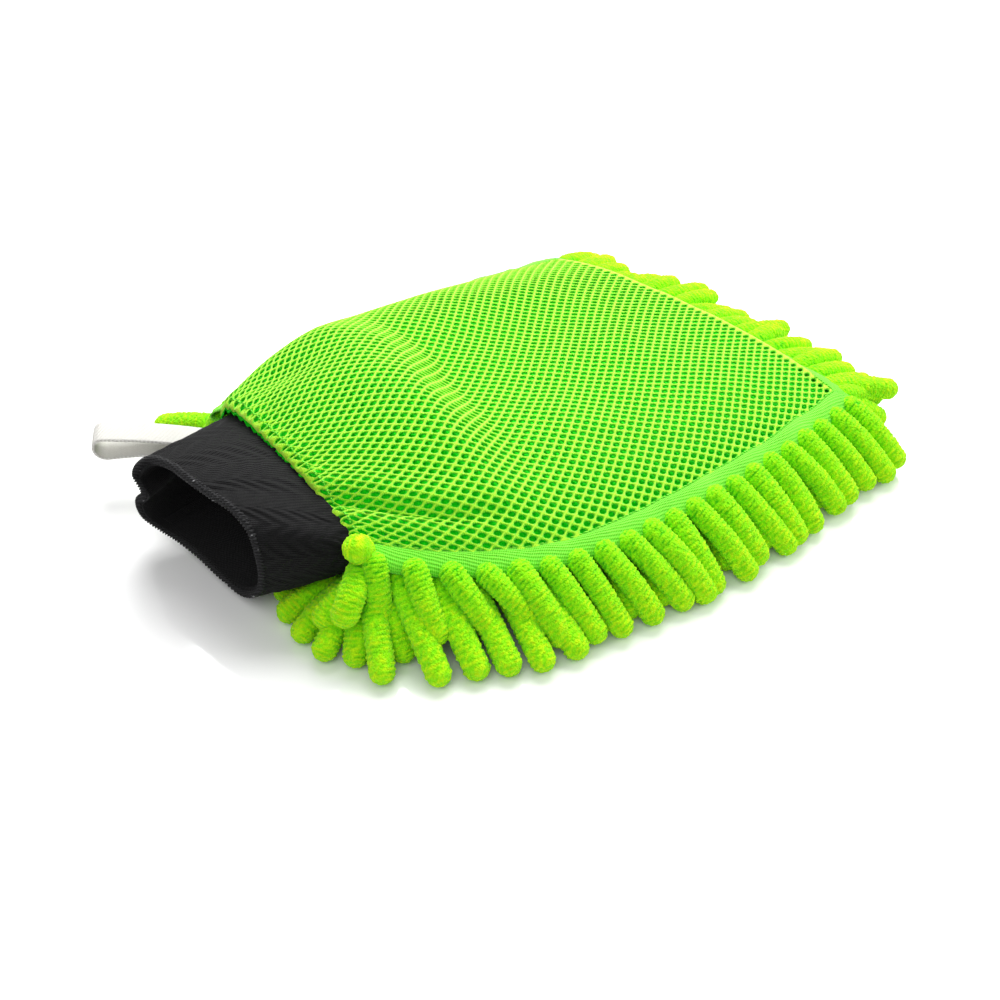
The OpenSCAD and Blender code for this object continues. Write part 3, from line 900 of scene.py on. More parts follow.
@dataclass
class Back:
    """The holed mesh, its core and the lining under it."""

    cell_x: float = 5.5
    cell_y: float = 4.75
    along: int = 40
    wide: int = 41
    hole_x: float = 1.42
    hole_y: float = 1.2
    strand: float = 0.9
    crown: float = 0.38
    net_wall: float = 1.0
    core_drop: float = 1.5
    core_wall: float = 0.5
    lining_drop: float = 3.8
    lining_wall: float = 0.5
    flat: tuple[float, float] = (0.196, 0.224)
    cross: CrossTable = field(default_factory=CrossTable)

    def spot(self, u: float, v: float, drop: float = 0.0, start: float = 0.0, inset: float = 0.0) -> Vector:
        """A point of the back.

        Args:
            u: Share of the way from the neck to the finger edge.
            v: Share of the way across the cloth.
            drop: Distance under the back's upper face.
            start: Distance from the neck at which the cloth starts.
            inset: How far the cloth stays inside the back's edge.

        Returns:
            The point.
        """
        w = self.cross.across(start + (BODY.length - start) * u, v)
        x = start + (BODY.tip_x(w) - BODY.panel_inset - inset - start) * u
        y = BODY.middle(x) + w * (BODY.half(x) - BODY.panel_inset - inset)
        return Vector((x, y, BODY.back(x, y) - drop))

    def net_flat(self) -> bmesh.types.BMesh:
        """The net lying flat, with a round hole in each cell and the origin at one corner."""
        bm = bmesh.new()
        bm.loops.layers.uv.new("UVMap")
        bmesh.ops.create_grid(bm, x_segments=self.along, y_segments=self.wide, size=0.5, calc_uvs=True)
        spread = Vector((self.along * self.cell_x, self.wide * self.cell_y, 1))
        for vert in bm.verts:
            vert.co = (vert.co + Vector((0.5, 0.5, 0))) * spread
        inside = [e for e in bm.edges if not e.is_boundary]
        bmesh.ops.poke(bm, faces=bm.faces[:])
        bmesh.ops.dissolve_edges(bm, edges=inside, use_verts=False)
        cells = [f for f in bm.faces if len(f.verts) == 4]
        outer = [e for e in bm.edges if not e.is_boundary]
        bmesh.ops.inset_individual(bm, faces=cells, thickness=self.strand, use_even_offset=True,
                                   use_interpolate=True)
        border = {e for e in bm.edges if e.is_boundary}
        bmesh.ops.delete(bm, geom=cells, context="FACES")
        rims = [e for e in bm.edges if e.is_boundary and e not in border]
        # Crest layer: 1 on the strands and 0 on the hole rims; it lifts the strands and sets their painted
        # highlight and the rims' painted shade.
        crown = bm.verts.layers.float.new(Layer.CREST_HEIGHT_SHADE.value)
        for vert in bm.verts:
            vert[crown] = 1.0
        for edge in rims:
            for vert in edge.verts:
                vert[crown] = 0.0
        bmesh.ops.subdivide_edges(bm, edges=outer + rims, cuts=1)
        return bm

    def round_hole(self, p: Vector) -> Vector:
        """Moves a point of a hole's edge onto the hole's oval.

        Args:
            p: The point on the flat net.

        Returns:
            The new point.
        """
        gx, gy = p.x / self.cell_x, p.y / self.cell_y
        options = ((math.floor(gx) + 0.5, round(gy)), (round(gx), math.floor(gy) + 0.5))
        cx, cy = min(options, key=lambda c: abs(gx - c[0]) + abs(gy - c[1]))
        d = Vector((p.x - cx * self.cell_x, p.y - cy * self.cell_y, 0))
        scaled = Vector((d.x / self.hole_x, d.y / self.hole_y, 0)).normalized()
        return Vector((cx * self.cell_x + scaled.x * self.hole_x, cy * self.cell_y + scaled.y * self.hole_y, 0))

    def build(self) -> list[bpy.types.Object]:
        """Makes the net, its core and the lining.

        Returns:
            The pieces.
        """
        self.cross.fill()
        bm = self.net_flat()
        crown = bm.verts.layers.float[Layer.CREST_HEIGHT_SHADE.value]
        span = (self.along * self.cell_x, self.wide * self.cell_y)
        holes = {v for e in bm.edges if e.is_boundary for v in e.verts
                 if 0.01 < v.co.x < span[0] - 0.01 and 0.01 < v.co.y < span[1] - 0.01}
        for vert in bm.verts:
            flat = self.round_hole(vert.co) if vert in holes else vert.co
            raised = self.crown * (0.0 if vert in holes else vert[crown])
            vert.co = BODY.place(self.spot(flat.x / span[0], flat.y / span[1], -raised))
        bmesh.ops.recalc_face_normals(bm, faces=bm.faces[:])
        face_upwards(bm)
        net = to_object(bm, "mesh_net", NetFinish(span).build(), self.net_wall)
        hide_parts("back_panel")
        core = grid_sheet(96, 84, lambda u, v: self.spot(u, v, self.core_drop))
        face_upwards(core)
        inner = to_object(core, "mesh_core", PileClothFinish().build(), self.core_wall)
        lining = grid_sheet(80, 70, lambda u, v: self.spot(u, v, self.lining_drop, 2.0, 5.0))
        face_upwards(lining)
        weave = WeaveFinish("lining_weave", (217, 160), (0.004, 0.16, 0.006), (0.01, 0.3, 0.012))
        under = to_object(lining, "hand_lining", weave.build(), self.lining_wall)
        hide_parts("back_lining")
        for piece in (net, inner, under):
            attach(piece, "mitt")
        return [net, inner, under]


@dataclass
class Rim:
    """The line round the body's outline, from the near neck corner round to the far one."""

    start: float = -1.0
    corner: float = 5.0
    steps: int = 420
    points: list[Vector] = field(default_factory=list)
    outs: list[Vector] = field(default_factory=list)
    run: np.ndarray | None = None

    def fill(self) -> None:
        """Works out the line and its outward directions."""
        sides = [(self.start + (BODY.length - self.start) * i / 200) for i in range(201)]
        near = [Vector((x, BODY.edge_y(x, -1), 0)) for x in sides]
        tip = [Vector((BODY.tip_x(v / 60), BODY.shift + v / 60 * BODY.tip_width / 2, 0))
               for v in range(-59, 60)]
        far = [Vector((x, BODY.edge_y(x, 1), 0)) for x in reversed(sides)]
        raw = near + tip + far
        run = np.concatenate([[0.0], np.cumsum([(b - a).length for a, b in zip(raw, raw[1:])])])
        xs, ys = [p.x for p in raw], [p.y for p in raw]
        fine = np.linspace(0, run[-1], self.steps * 4)
        fx, fy = np.interp(fine, run, xs), np.interp(fine, run, ys)
        width = max(3, int(self.corner / (fine[1] - fine[0])))
        kernel = np.ones(2 * width + 1) / (2 * width + 1)
        fx = np.convolve(np.pad(fx, width, "reflect", reflect_type="odd"), kernel, "valid")
        fy = np.convolve(np.pad(fy, width, "reflect", reflect_type="odd"), kernel, "valid")
        tx, ty = np.gradient(fx), np.gradient(fy)
        size = np.hypot(tx, ty)
        self.points = [Vector((a, b, 0)) for a, b in zip(fx, fy)]
        self.outs = [Vector((b, -a, 0)) for a, b in zip(tx / size, ty / size)]
        self.run = np.concatenate([[0.0], np.cumsum(np.hypot(np.diff(fx), np.diff(fy)))])

    def at(self, share: float) -> tuple[Vector, Vector, float]:
        """A place on the line.

        Args:
            share: Share of the line's length.

        Returns:
            The point, its outward direction, and the length so far.
        """
        s = min(max(share, 0.0), 1.0) * self.run[-1]
        k = min(int(np.searchsorted(self.run, s, "right")) - 1, len(self.points) - 2)
        t = (s - self.run[k]) / max(1e-9, self.run[k + 1] - self.run[k])
        return self.points[k].lerp(self.points[k + 1], t), self.outs[k].lerp(self.outs[k + 1], t), s


RIM = Rim()


@dataclass
class Bands:
    """The woven band round the edge, with its seams."""

    profile: tuple[tuple[float, float], ...] = (
        (2.6, 0.9), (0.8, 1.0), (-0.9, 2.2), (-0.9, 4.0), (0.6, 5.8), (2.7, 7.2), (4.6, 8.1),
        (6.0, 8.35), (7.1, 7.9), (7.6, 6.9))
    width: float = 11.0
    stitch: float = 2.6
    wall: float = 0.7

    def line(self, v: float) -> tuple[float, float]:
        """A point of the band's profile: its inset and its height over the sole's edge."""
        at = v * (len(self.profile) - 1)
        k = min(int(at), len(self.profile) - 2)
        t = at - k
        before = self.profile[max(k - 1, 0)]
        a, b = self.profile[k], self.profile[k + 1]
        after = self.profile[min(k + 2, len(self.profile) - 1)]
        return tuple(
            0.5 * (2 * a[i] + (b[i] - before[i]) * t + (2 * before[i] - 5 * a[i] + 4 * b[i] - after[i]) * t ** 2
                   + (3 * a[i] - before[i] - 3 * b[i] + after[i]) * t ** 3) for i in (0, 1))

    def spot(self, u: float, v: float, lift: float = 0.0) -> Vector:
        """A point of the band.

        Args:
            u: Share of the way round the edge.
            v: Share of the way from the sole seam to the back seam.
            lift: Distance out of the band.

        Returns:
            The point.
        """
        p, out, s = RIM.at(u)
        inset, rise = self.line(v)
        body = math.sin(math.pi * v)
        inset += 1.0 * body * ripple(s / 12, v * 1.5, 5.0) + 0.3 * body * ripple(s / 5, v * 2, 9.0)
        rise += 1.3 * v * ripple(s / 14, 2.0, 1.0)
        inset += 1.2 * v * ripple(s / 19, 6.0, 4.0)
        spot = p - out * (inset - lift * body)
        return Vector((spot.x, spot.y, BODY.sole_edge(p.x) + rise + lift * v))

    def seam(self, v: float, lift: float, radius: float) -> bmesh.types.BMesh:
        """A line of stitches along the band.

        Args:
            v: Where on the band's width it runs.
            lift: Its distance out of the band.
            radius: The thread's radius.

        Returns:
            The stitches.
        """
        count = int(RIM.run[-1] / self.stitch)
        made = []
        for i in range(count):
            a, b = self.spot((i + 0.14) / count, v, lift), self.spot((i + 0.86) / count, v, lift)
            middle = (a + b) / 2 + Vector((0, 0, 0.3))
            made.append(Finger(Bend(a, middle, b), radius, i, 6, 6, 0.0, 0.0))
        return finger_mesh(made)

    def build(self) -> list[bpy.types.Object]:
        """Makes the band and its two seams.

        Returns:
            The pieces.
        """
        RIM.fill()
        bm = grid_sheet(360, 18, self.spot)
        face_upwards(bm)
        round_edge = RIM.run[-1]
        weave = WeaveFinish("band_weave", (round_edge, self.width), (0.10, 0.64, 0.010), (0.28, 0.91, 0.045),
                            0.6, 0.0002, 0.6, 0.8)
        band = to_object(bm, "edge_band", weave.build(), self.wall)
        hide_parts("near_band", "tip_band", "far_band")
        green = ThreadFinish("green_thread", (0.06, 0.5, 0.01), (0.25, 0.85, 0.05)).build()
        top = to_object(self.seam(0.86, 0.25, 0.32), "back_seam_stitches", green)
        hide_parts("back_seam_thread")
        low = to_object(self.seam(0.03, 0.3, 0.3), "sole_seam_stitches", green)
        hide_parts("sole_seam_thread")
        for piece in (band, top, low):
            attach(piece, "mitt")
        return [band, top, low]


@dataclass
class Sole:
    """The base cloth that carries the fingers, and the lining over it."""

    wall: float = 1.6

    def spot(self, u: float, v: float, lift: float, inset: float) -> Vector:
        """A point of the sole.

        Args:
            u: Share of the way to the finger edge.
            v: Share of the way across.
            lift: Distance over the cloth's middle.
            inset: Distance from the outline.

        Returns:
            The point.
        """
        w = math.sin(math.pi * (v - 0.5))
        x = (BODY.tip_x(w) - inset) * u
        y = BODY.middle(x) + w * (BODY.half(x) - inset)
        return Vector((x, y, BODY.sole_h(x, y) + lift))

    def build(self) -> list[bpy.types.Object]:
        """Makes the cloth and the lining.

        Returns:
            The pieces.
        """
        cloth = WeaveFinish("sole_weave", (220, 168), (0.03, 0.42, 0.01), (0.1, 0.66, 0.02), 0.9, 0.0002)
        lining = WeaveFinish("sole_lining_weave", (217, 154), (0.004, 0.16, 0.006), (0.01, 0.3, 0.012))
        base = grid_sheet(70, 56, lambda u, v: self.spot(u, v, 0.8, 0.8))
        over = grid_sheet(60, 48, lambda u, v: self.spot(0.012 + u * 0.982, v, 2.2, 7.5))
        for bm in (base, over):
            face_upwards(bm)
        lower = to_object(base, "sole_base", cloth.build(), self.wall)
        upper = to_object(over, "sole_hand_lining", lining.build(), 0.5)
        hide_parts("sole_cloth")
        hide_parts("sole_lining")
        for piece in (lower, upper):
            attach(piece, "mitt")
        return [lower, upper]


# ---------------------------------------------------------------- chenille


@dataclass
class Fringe:
    """Chenille fingers round the edge and under the sole."""

    pitch: float = 10.5
    first: float = 3.7
    count: int = 20
    radius: float = 4.7
    reach: float = 21.5
    far_reach: float = 15.5
    tip_reach: float = 19.0
    tip_radius: float = 4.25
    tip_pitch: float = 8.36
    tip_count: int = 19
    sole_radius: float = 3.5
    sole_pitch: float = 8.3
    upper_ends: tuple[tuple[float, float, float], ...] = (
        (-0.2, -54.4, 12.5), (12.0, -70.6, 13.0), (28.7, -78.9, 12.0), (42.4, -84.4, 12.0), (48.5, -93.3, 8.0),
        (60.2, -98.5, 6.0), (70.1, -101.1, 5.2), (83.3, -102.9, 5.0), (96.8, -104.1, 5.0), (106.0, -106.0, 5.0))
    splayed: tuple[tuple[tuple[float, float, float], tuple[float, float, float]], ...] = (
        ((216.0, -62.0, 23.0), (239.5, -74.5, 20.0)), ((214.5, -68.0, 21.5), (230.5, -78.0, 11.5)))
    far_splayed: tuple[tuple[tuple[float, float, float], ...], ...] = (
        ((7.0, 71.0, 18.0), (-1.0, 84.0, 17.0), (-8.5, 97.0, 10.5)),
        ((3.0, 67.0, 15.0), (-5.0, 82.0, 9.0), (-9.0, 93.0, 5.2)))
    lower_ends: tuple[tuple[float, float, float], ...] = (
        (5.4, -80.4, 4.9), (17.5, -85.7, 4.9), (27.5, -91.0, 4.9), (38.0, -96.5, 4.9), (51.0, -99.0, 4.9))

    def edge_finger(self, x: float, side: float, reach: float, drop: float, lean: float, rng: random.Random,
                    radius: float, rise: float, root_in: float, detail: int) -> Finger:
        """A finger on one of the long sides.

        Args:
            x: Where its root sits.
            side: -1 for the near side and 1 for the far side.
            reach: How far out its end lies.
            drop: Height of its end's middle.
            lean: How far its end lies towards the finger edge.
            rng: The random draws.
            radius: Its radius.
            rise: Height of its root's middle over the sole's edge.
            root_in: How far its root lies inside the edge.
            detail: Rings along it.

        Returns:
            The finger.
        """
        out = BODY.outward(x, side)
        root = Vector((x, BODY.edge_y(x, side), BODY.sole_edge(x) + rise)) - out * root_in
        flat = Vector((out.y, -out.x, 0)) * (1 if side < 0 else -1)
        flat = flat if flat.x > 0 else -flat
        end = root + out * reach + flat * lean
        end.z = drop
        return self.hang(root, end, out, rng, radius, detail, -0.9)

    def hang(self, root: Vector, end: Vector, out: Vector, rng: random.Random, radius: float,
             detail: int, arch: float = 1.0) -> Finger:
        """A finger that leaves the edge level and bends down to its end.

        Args:
            root: Its root.
            end: Its end.
            out: The level direction out of the edge.
            rng: The random draws.
            radius: Its radius.
            detail: Rings along it.
            arch: How much it arches over before it drops.

        Returns:
            The finger.
        """
        middle = root.lerp(end, 0.45) + out * rng.uniform(0.5, 2.5)
        middle.z = root.z * 0.6 + end.z * 0.4 + arch * rng.uniform(0.5, 2.6)
        return Finger(Bend(root, middle, end), radius, rng.uniform(0, 9), 28, detail)

    def near_side(self, rng: random.Random) -> list[Finger]:
        """The two layers of fingers along the near side.

        Args:
            rng: The random draws.

        Returns:
            The fingers.
        """
        made = []
        for layer, (ends, step, rise, inside) in enumerate((
                (self.upper_ends, 0.0, 3.2, -0.8), (self.lower_ends, 0.5, -4.0, 2.5))):
            for i in range(self.count + 1 - layer):
                x = min(self.first + (i + step) * self.pitch, BODY.length - 2.5)
                out, near = BODY.outward(x, -1), smooth_fall(x, 60)
                radius = self.radius * rng.uniform(0.92, 1.05)
                root = Vector((x, BODY.edge_y(x, -1), BODY.sole_edge(x) + rise + 1.8 * near)) - out * inside
                if i < len(ends):
                    end = Vector(ends[i])
                else:
                    lean = rng.uniform(-3.0, 2.0) if layer else rng.uniform(2.0, 7.5)
                    reach = self.reach - 4.0 * layer + rng.uniform(-2.2, 1.2)
                    end = root + out * reach + Vector((lean, 0, 0))
                    end.z = radius + 0.3 + rng.uniform(0.0, 2.4) * (1 - layer)
                made.append(self.hang(root, end, out, rng, radius, 60 if layer == 0 else 48))
        return made

    def far_side(self, rng: random.Random) -> list[Finger]:
        """The two layers of fingers along the far side, which hang close to the body.

        Args:
            rng: The random draws.

        Returns:
            The fingers.
        """
        made = []
        for layer, (step, rise, inside) in enumerate(((0.0, 0.2, 0.6), (0.5, -5.0, 3.0))):
            for i in range(self.count + 1 - layer):
                x = min(self.first + (i + step) * self.pitch, BODY.length - 2.5)
                radius = self.radius * rng.uniform(0.93, 1.04)
                reach = self.far_reach - 2.0 * layer + rng.uniform(-1.8, 1.5)
                made.append(self.edge_finger(x, 1, reach, radius + 0.2, rng.uniform(-3.5, 3.0), rng, radius,
                                             rise, inside, 40))
        for root, middle, end in self.far_splayed:
            made.append(Finger(Bend(Vector(root), Vector(middle), Vector(end)), 4.7, rng.uniform(0, 9)))
        return made

    def finger_edge(self, rng: random.Random) -> list[Finger]:
        """The fingers along the finger edge.

        Args:
            rng: The random draws.

        Returns:
            The fingers.
        """
        made = []
        for layer, (rise, low, inside) in enumerate(((3.4, 14.5, 0.4), (-3.6, 1.0, 3.0))):
            n = self.tip_count - layer
            for j in range(n):
                y = (j - (n - 1) / 2) * self.tip_pitch
                v = 2 * y / BODY.tip_width
                out = Vector((1, 4 * BODY.tip_bow * v / BODY.tip_width, 0)).normalized()
                radius = self.tip_radius * rng.uniform(0.92, 1.04)
                root = Vector((BODY.tip_x(v), BODY.shift + y, BODY.sole + rise)) - out * inside
                reach = self.tip_reach - 2.5 * layer + rng.uniform(-3.0, 2.5)
                end = root + out * reach + Vector((0, rng.uniform(-5, 4), 0))
                end.z = radius + low + rng.uniform(-3.0, 2.5) * (1 - layer)
                middle = root.lerp(end, 0.5) + Vector((0, 0, rng.uniform(1.0, 3.0)))
                made.append(Finger(Bend(root, middle, end), radius, rng.uniform(0, 9), 22, 48))
        for root, end in self.splayed:
            a, b = Vector(root), Vector(end)
            middle = a.lerp(b, 0.5) + Vector((0, 0, 2.5))
            made.append(Finger(Bend(a, middle, b), 4.5, rng.uniform(0, 9), 22, 48))
        return made

    def shoulders(self) -> list[Finger]:
        """The fingers that fan out under and beside the cuff on the near side."""
        ends = ((-15.5, -13, 4.6), (-20, -23, 4.7), (-21, -35, 4.8), (-19.5, -47, 5.0), (-12.5, -56, 5.0),
                (-9.5, -68, 5.0), (2, -64, 4.9), (-15, -41, 13.5))
        roots = ((5, -16, 11), (4, -24, 11.5), (3, -31, 12.5), (1, -37, 14), (1, -41, 17),
                 (2, -45, 21), (5, -47, 20), (0, -41, 20))
        made = []
        for k, (root, end) in enumerate(zip(roots, ends)):
            a, b = Vector(root), Vector(end)
            middle = a.lerp(b, 0.5) + Vector((0, 0, 2.5))
            made.append(Finger(Bend(a, middle, b), 4.7, k * 1.7, 22, 48))
        for root, end in (((3.5, -38.5, 31.0), (-0.4, -42.0, 38.0)),
                          ((0.5, -42.5, 28.0), (-12.0, -50.5, 20.5))):
            a, b = Vector(root), Vector(end)
            middle = a.lerp(b, 0.5) + Vector((-1.5, -2.5, 3.5))
            made.append(Finger(Bend(a, middle, b), 5.1, 3.1, 22, 48))
        return made

    def under(self, rng: random.Random) -> list[Finger]:
        """The rows of fingers under the sole.

        Args:
            rng: The random draws.

        Returns:
            The fingers.
        """
        made = []
        for i in range(self.count):
            x = self.first + i * self.pitch
            half = BODY.half(x) - 8
            n = int(half / self.sole_pitch)
            for j in range(-n, n + 1):
                y = BODY.middle(x) + (j + (0.5 if i % 2 else 0)) * self.sole_pitch
                if abs(y - BODY.middle(x)) > half:
                    continue
                r = self.sole_radius * rng.uniform(0.95, 1.08)
                root = Vector((x, y, BODY.sole_h(x, y) - 1.0 - r))
                run = max(1.0, (root.z - r) * 1.28)
                end = root + Vector((run, rng.uniform(-2.0, 2.0), 0))
                end.z = r
                middle = root.lerp(end, 0.5) + Vector((0, 0, 1.0))
                made.append(Finger(Bend(root, middle, end), r, rng.uniform(0, 9), 8, 8, 0.03, 0.5, 4.0))
        return made

    def build(self) -> list[bpy.types.Object]:
        """Makes all the fingers.

        Returns:
            The pieces.
        """
        pile = ChenilleFinish().build()
        rng = random.Random(11)
        groups = (
            ("near_fingers", self.near_side(rng), ("near_fringe",)),
            ("far_fingers", self.far_side(rng), ("far_fringe",)),
            ("tip_fingers", self.finger_edge(rng), ("tip_fringe",)),
            ("shoulder_fingers", self.shoulders(), ("near_shoulder_fringe",)),
            ("sole_fingers", self.under(rng), tuple(f"sole_row_{i + 1:02d}" for i in range(self.count))),
        )
        made = []
        for name, fingers, nodes in groups:
            piece = to_object(finger_mesh(fingers), name, pile)
            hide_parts(*nodes)
            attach(piece, "mitt")
            made.append(piece)
        return made


# ---------------------------------------------------------------- cuff


@dataclass
class Cuff:
    """The knitted cuff: two layers, a bound rim, elastic threads and a side seam."""

    rim: tuple[tuple[float, float, float], ...] = (
        (-26.9, -21.6, 33.0), (-27.1, -18.3, 43.0), (-28.0, -8.5, 47.2), (-31.0, 2.5, 48.6),
        (-33.4, 14.0, 49.4), (-35.0, 26.0, 48.8), (-38.0, 36.0, 46.6), (-41.2, 40.5, 42.6), (-42.8, 42.9, 36.6),
        (-42.0, 39.6, 30.0), (-43.0, 45.6, 22.4), (-42.0, 46.2, 14.4), (-38.0, 42.0, 8.2), (-34.3, 34.5, 5.4),
        (-31.9, 22.0, 4.2), (-30.6, 8.0, 3.6), (-28.8, -6.0, 4.4), (-26.9, -16.2, 12.0), (-26.6, -20.6, 22.0))
    neck_half: float = 46.0
    far_reach: float = 3.5
    neck_top: float = 14.2
    neck_low: float = 16.0
    neck_z: float = 30.6
    neck_x: float = 1.6
    layer: float = 1.5
    flat: tuple[float, float] = (0.235, 0.04)
    fold_end: float = -9.0
    cables: int = 26
    cable_waves: float = 5.5
    cable_lift: float = 0.7
    wraps: int = 140

    def smooth_rim(self, t: float) -> Vector:
        """A point of the rim at t from 0 to 1 round it."""
        n = len(self.rim)
        at = (t % 1.0) * n
        k = int(at)
        f = at - k
        p0, p1, p2, p3 = (Vector(self.rim[(k + d) % n]) for d in (-1, 0, 1, 2))
        return 0.5 * (2 * p1 + (p2 - p0) * f + (2 * p0 - 5 * p1 + 4 * p2 - p3) * f ** 2
                      + (3 * p1 - p0 - 3 * p2 + p3) * f ** 3)

    def neck_ring(self, t: float) -> Vector:
        """A point of the sewn end at t from 0 to 1 round it."""
        angle = math.pi - TURN * t - 0.15
        c, s = math.cos(angle), math.sin(angle)
        reach = self.neck_half + (self.far_reach if c > 0 else 0.0)
        y = BODY.neck_middle + reach * (abs(c) ** 0.85) * (1 if c > 0 else -1)
        high = self.neck_top if s > 0 else self.neck_low
        z = self.neck_z + high * (abs(s) ** 0.8) * (1 if s > 0 else -1)
        return Vector((self.neck_x, y, z))

    def relief(self, t: float, v: float) -> float:
        """Height of the knitted cables, from 0 to 1.

        Args:
            t: Share of the way round.
            v: Share of the way from the neck to the rim.

        Returns:
            The height.
        """
        column = t * self.cables + 0.35 * ripple(t * 20, v * 3, 6.0)
        lean = 1 if int(column) % 2 else -1
        inside = column % 1.0
        stripe = math.sin(TURN * (v * self.cable_waves + lean * inside * 1.3))
        wall = math.sin(math.pi * inside) ** 0.5
        return 0.5 + 0.5 * stripe * wall

    def spot(self, v: float, t: float, depth: float = 0.0) -> Vector:
        """A point of the knit.

        Args:
            v: Share of the way from the neck to the rim.
            t: Share of the way round.
            depth: Distance inside the outer face.

        Returns:
            The point.
        """
        a, b = self.neck_ring(t), self.smooth_rim(t)
        p = a.lerp(b, v)
        centre = Vector((a.x, BODY.neck_middle, self.neck_z)).lerp(Vector((-35, 11, 27)), v)
        away = p - centre
        away.x = 0
        away.normalize()
        swell = 1.3 * math.sin(math.pi * v) + 0.9 * math.sin(math.pi * v) * ripple(t * 9, v * 2, 4.0)
        lift = self.cable_lift * (self.relief(t, v) - 0.5) * (depth == 0) * min(1.0, v * 6)
        crimp = 0.5 * math.sin(TURN * t * 34) * smooth_fall(v * 36, 9)
        return p + away * (swell + lift + crimp - depth)

    def ring(self, v: float, depth: float, radius: float, name: str, material: bpy.types.Material,
             nap: float = 0.0) -> bpy.types.Object:
        """A closed thread or roll round the cuff.

        Args:
            v: Where along the cuff it runs.
            depth: Its distance inside the outer face.
            radius: Its radius.
            name: The piece's name.
            material: Its material.
            nap: Height of its wraps.

        Returns:
            The piece.
        """

        def spot(a: float, t: float) -> Vector:
            p = self.spot(v, t, depth)
            ahead = (self.spot(v, t + 0.004, depth) - p).normalized()
            side = ahead.cross(Vector((1, 0, 0))).normalized()
            turn = TURN * a
            wrap = nap * math.sin(TURN * t * self.wraps + turn)
            return p + (side * math.sin(turn) + side.cross(ahead) * math.cos(turn)) * (radius + wrap)

        rings, around = (980, 12) if nap else (180, 6)
        bm = grid_sheet(around, rings, spot)
        bmesh.ops.remove_doubles(bm, verts=bm.verts[:], dist=2e-6)
        bmesh.ops.recalc_face_normals(bm, faces=bm.faces[:])
        return to_object(bm, name, material)

    def build(self) -> list[bpy.types.Object]:
        """Makes the cuff's pieces.

        Returns:
            The pieces.
        """
        span = (228.0, 38.0)
        made = []
        for name, depth, slot, node, rows, cols in (
                ("cuff_knit", 0.0, "cuff_knit", "cuff_outer", 60, 416),
                ("cuff_knit_inside", 2.6, "cuff_lining_knit", "cuff_inner", 34, 220)):
            bm = grid_sheet(rows, cols, lambda v, t, d=depth: self.spot(v, t, d), weld=True)
            centre = BODY.place(Vector((-15, 9, 29)))
            outwards = sum(f.normal.dot((f.calc_center_median() - centre).normalized()) * f.calc_area()
                           for f in bm.faces)
            if outwards < 0:
                bmesh.ops.reverse_faces(bm, faces=bm.faces[:])
            piece = to_object(bm, name, KnitFinish(name + "_yarn", (span[1], span[0])).build(), 1.0)
            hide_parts(node)
            made.append(piece)
        black = ThreadFinish("overlock_thread", (0.002, 0.002, 0.002), (0.02, 0.02, 0.022), (0.35, 0.35, 0.36))
        stretch = ThreadFinish("elastic_rubber", (0.01, 0.01, 0.01), (0.05, 0.05, 0.05))
        binding = self.ring(1.0, 1.1, 1.35, "cuff_rim_roll", black.build(), 0.34)
        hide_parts("cuff_rim_binding")
        made.append(binding)
        rubber = stretch.build()
        for k, v in enumerate((0.4, 0.55, 0.7, 0.85)):
            made.append(self.ring(v, 1.8, 0.3, f"cuff_elastic_{k + 1}", rubber))
        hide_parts("cuff_elastic_threads")
        seam = grid_sheet(40, 6, lambda v, a: self.spot(0.06 + v * 0.86, 0.62 + (a - 0.5) * 0.025, 4.0))
        face_upwards(seam)
        yarn = KnitFinish("seam_yarn", (34.0, 6.0)).build()
        ridge = to_object(seam, "cuff_seam_allowance", yarn, 0.8)
        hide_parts("cuff_side_seam")
        made.append(ridge)
        start, end = BODY.place(Vector((0.0, 9.5, 30))), BODY.place(Vector((self.fold_end, 9.5, 30)))
        for piece in made:
            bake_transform(piece, "mitt", "cuff", start=start, end=end)
        return made


# ---------------------------------------------------------------- hanging loop


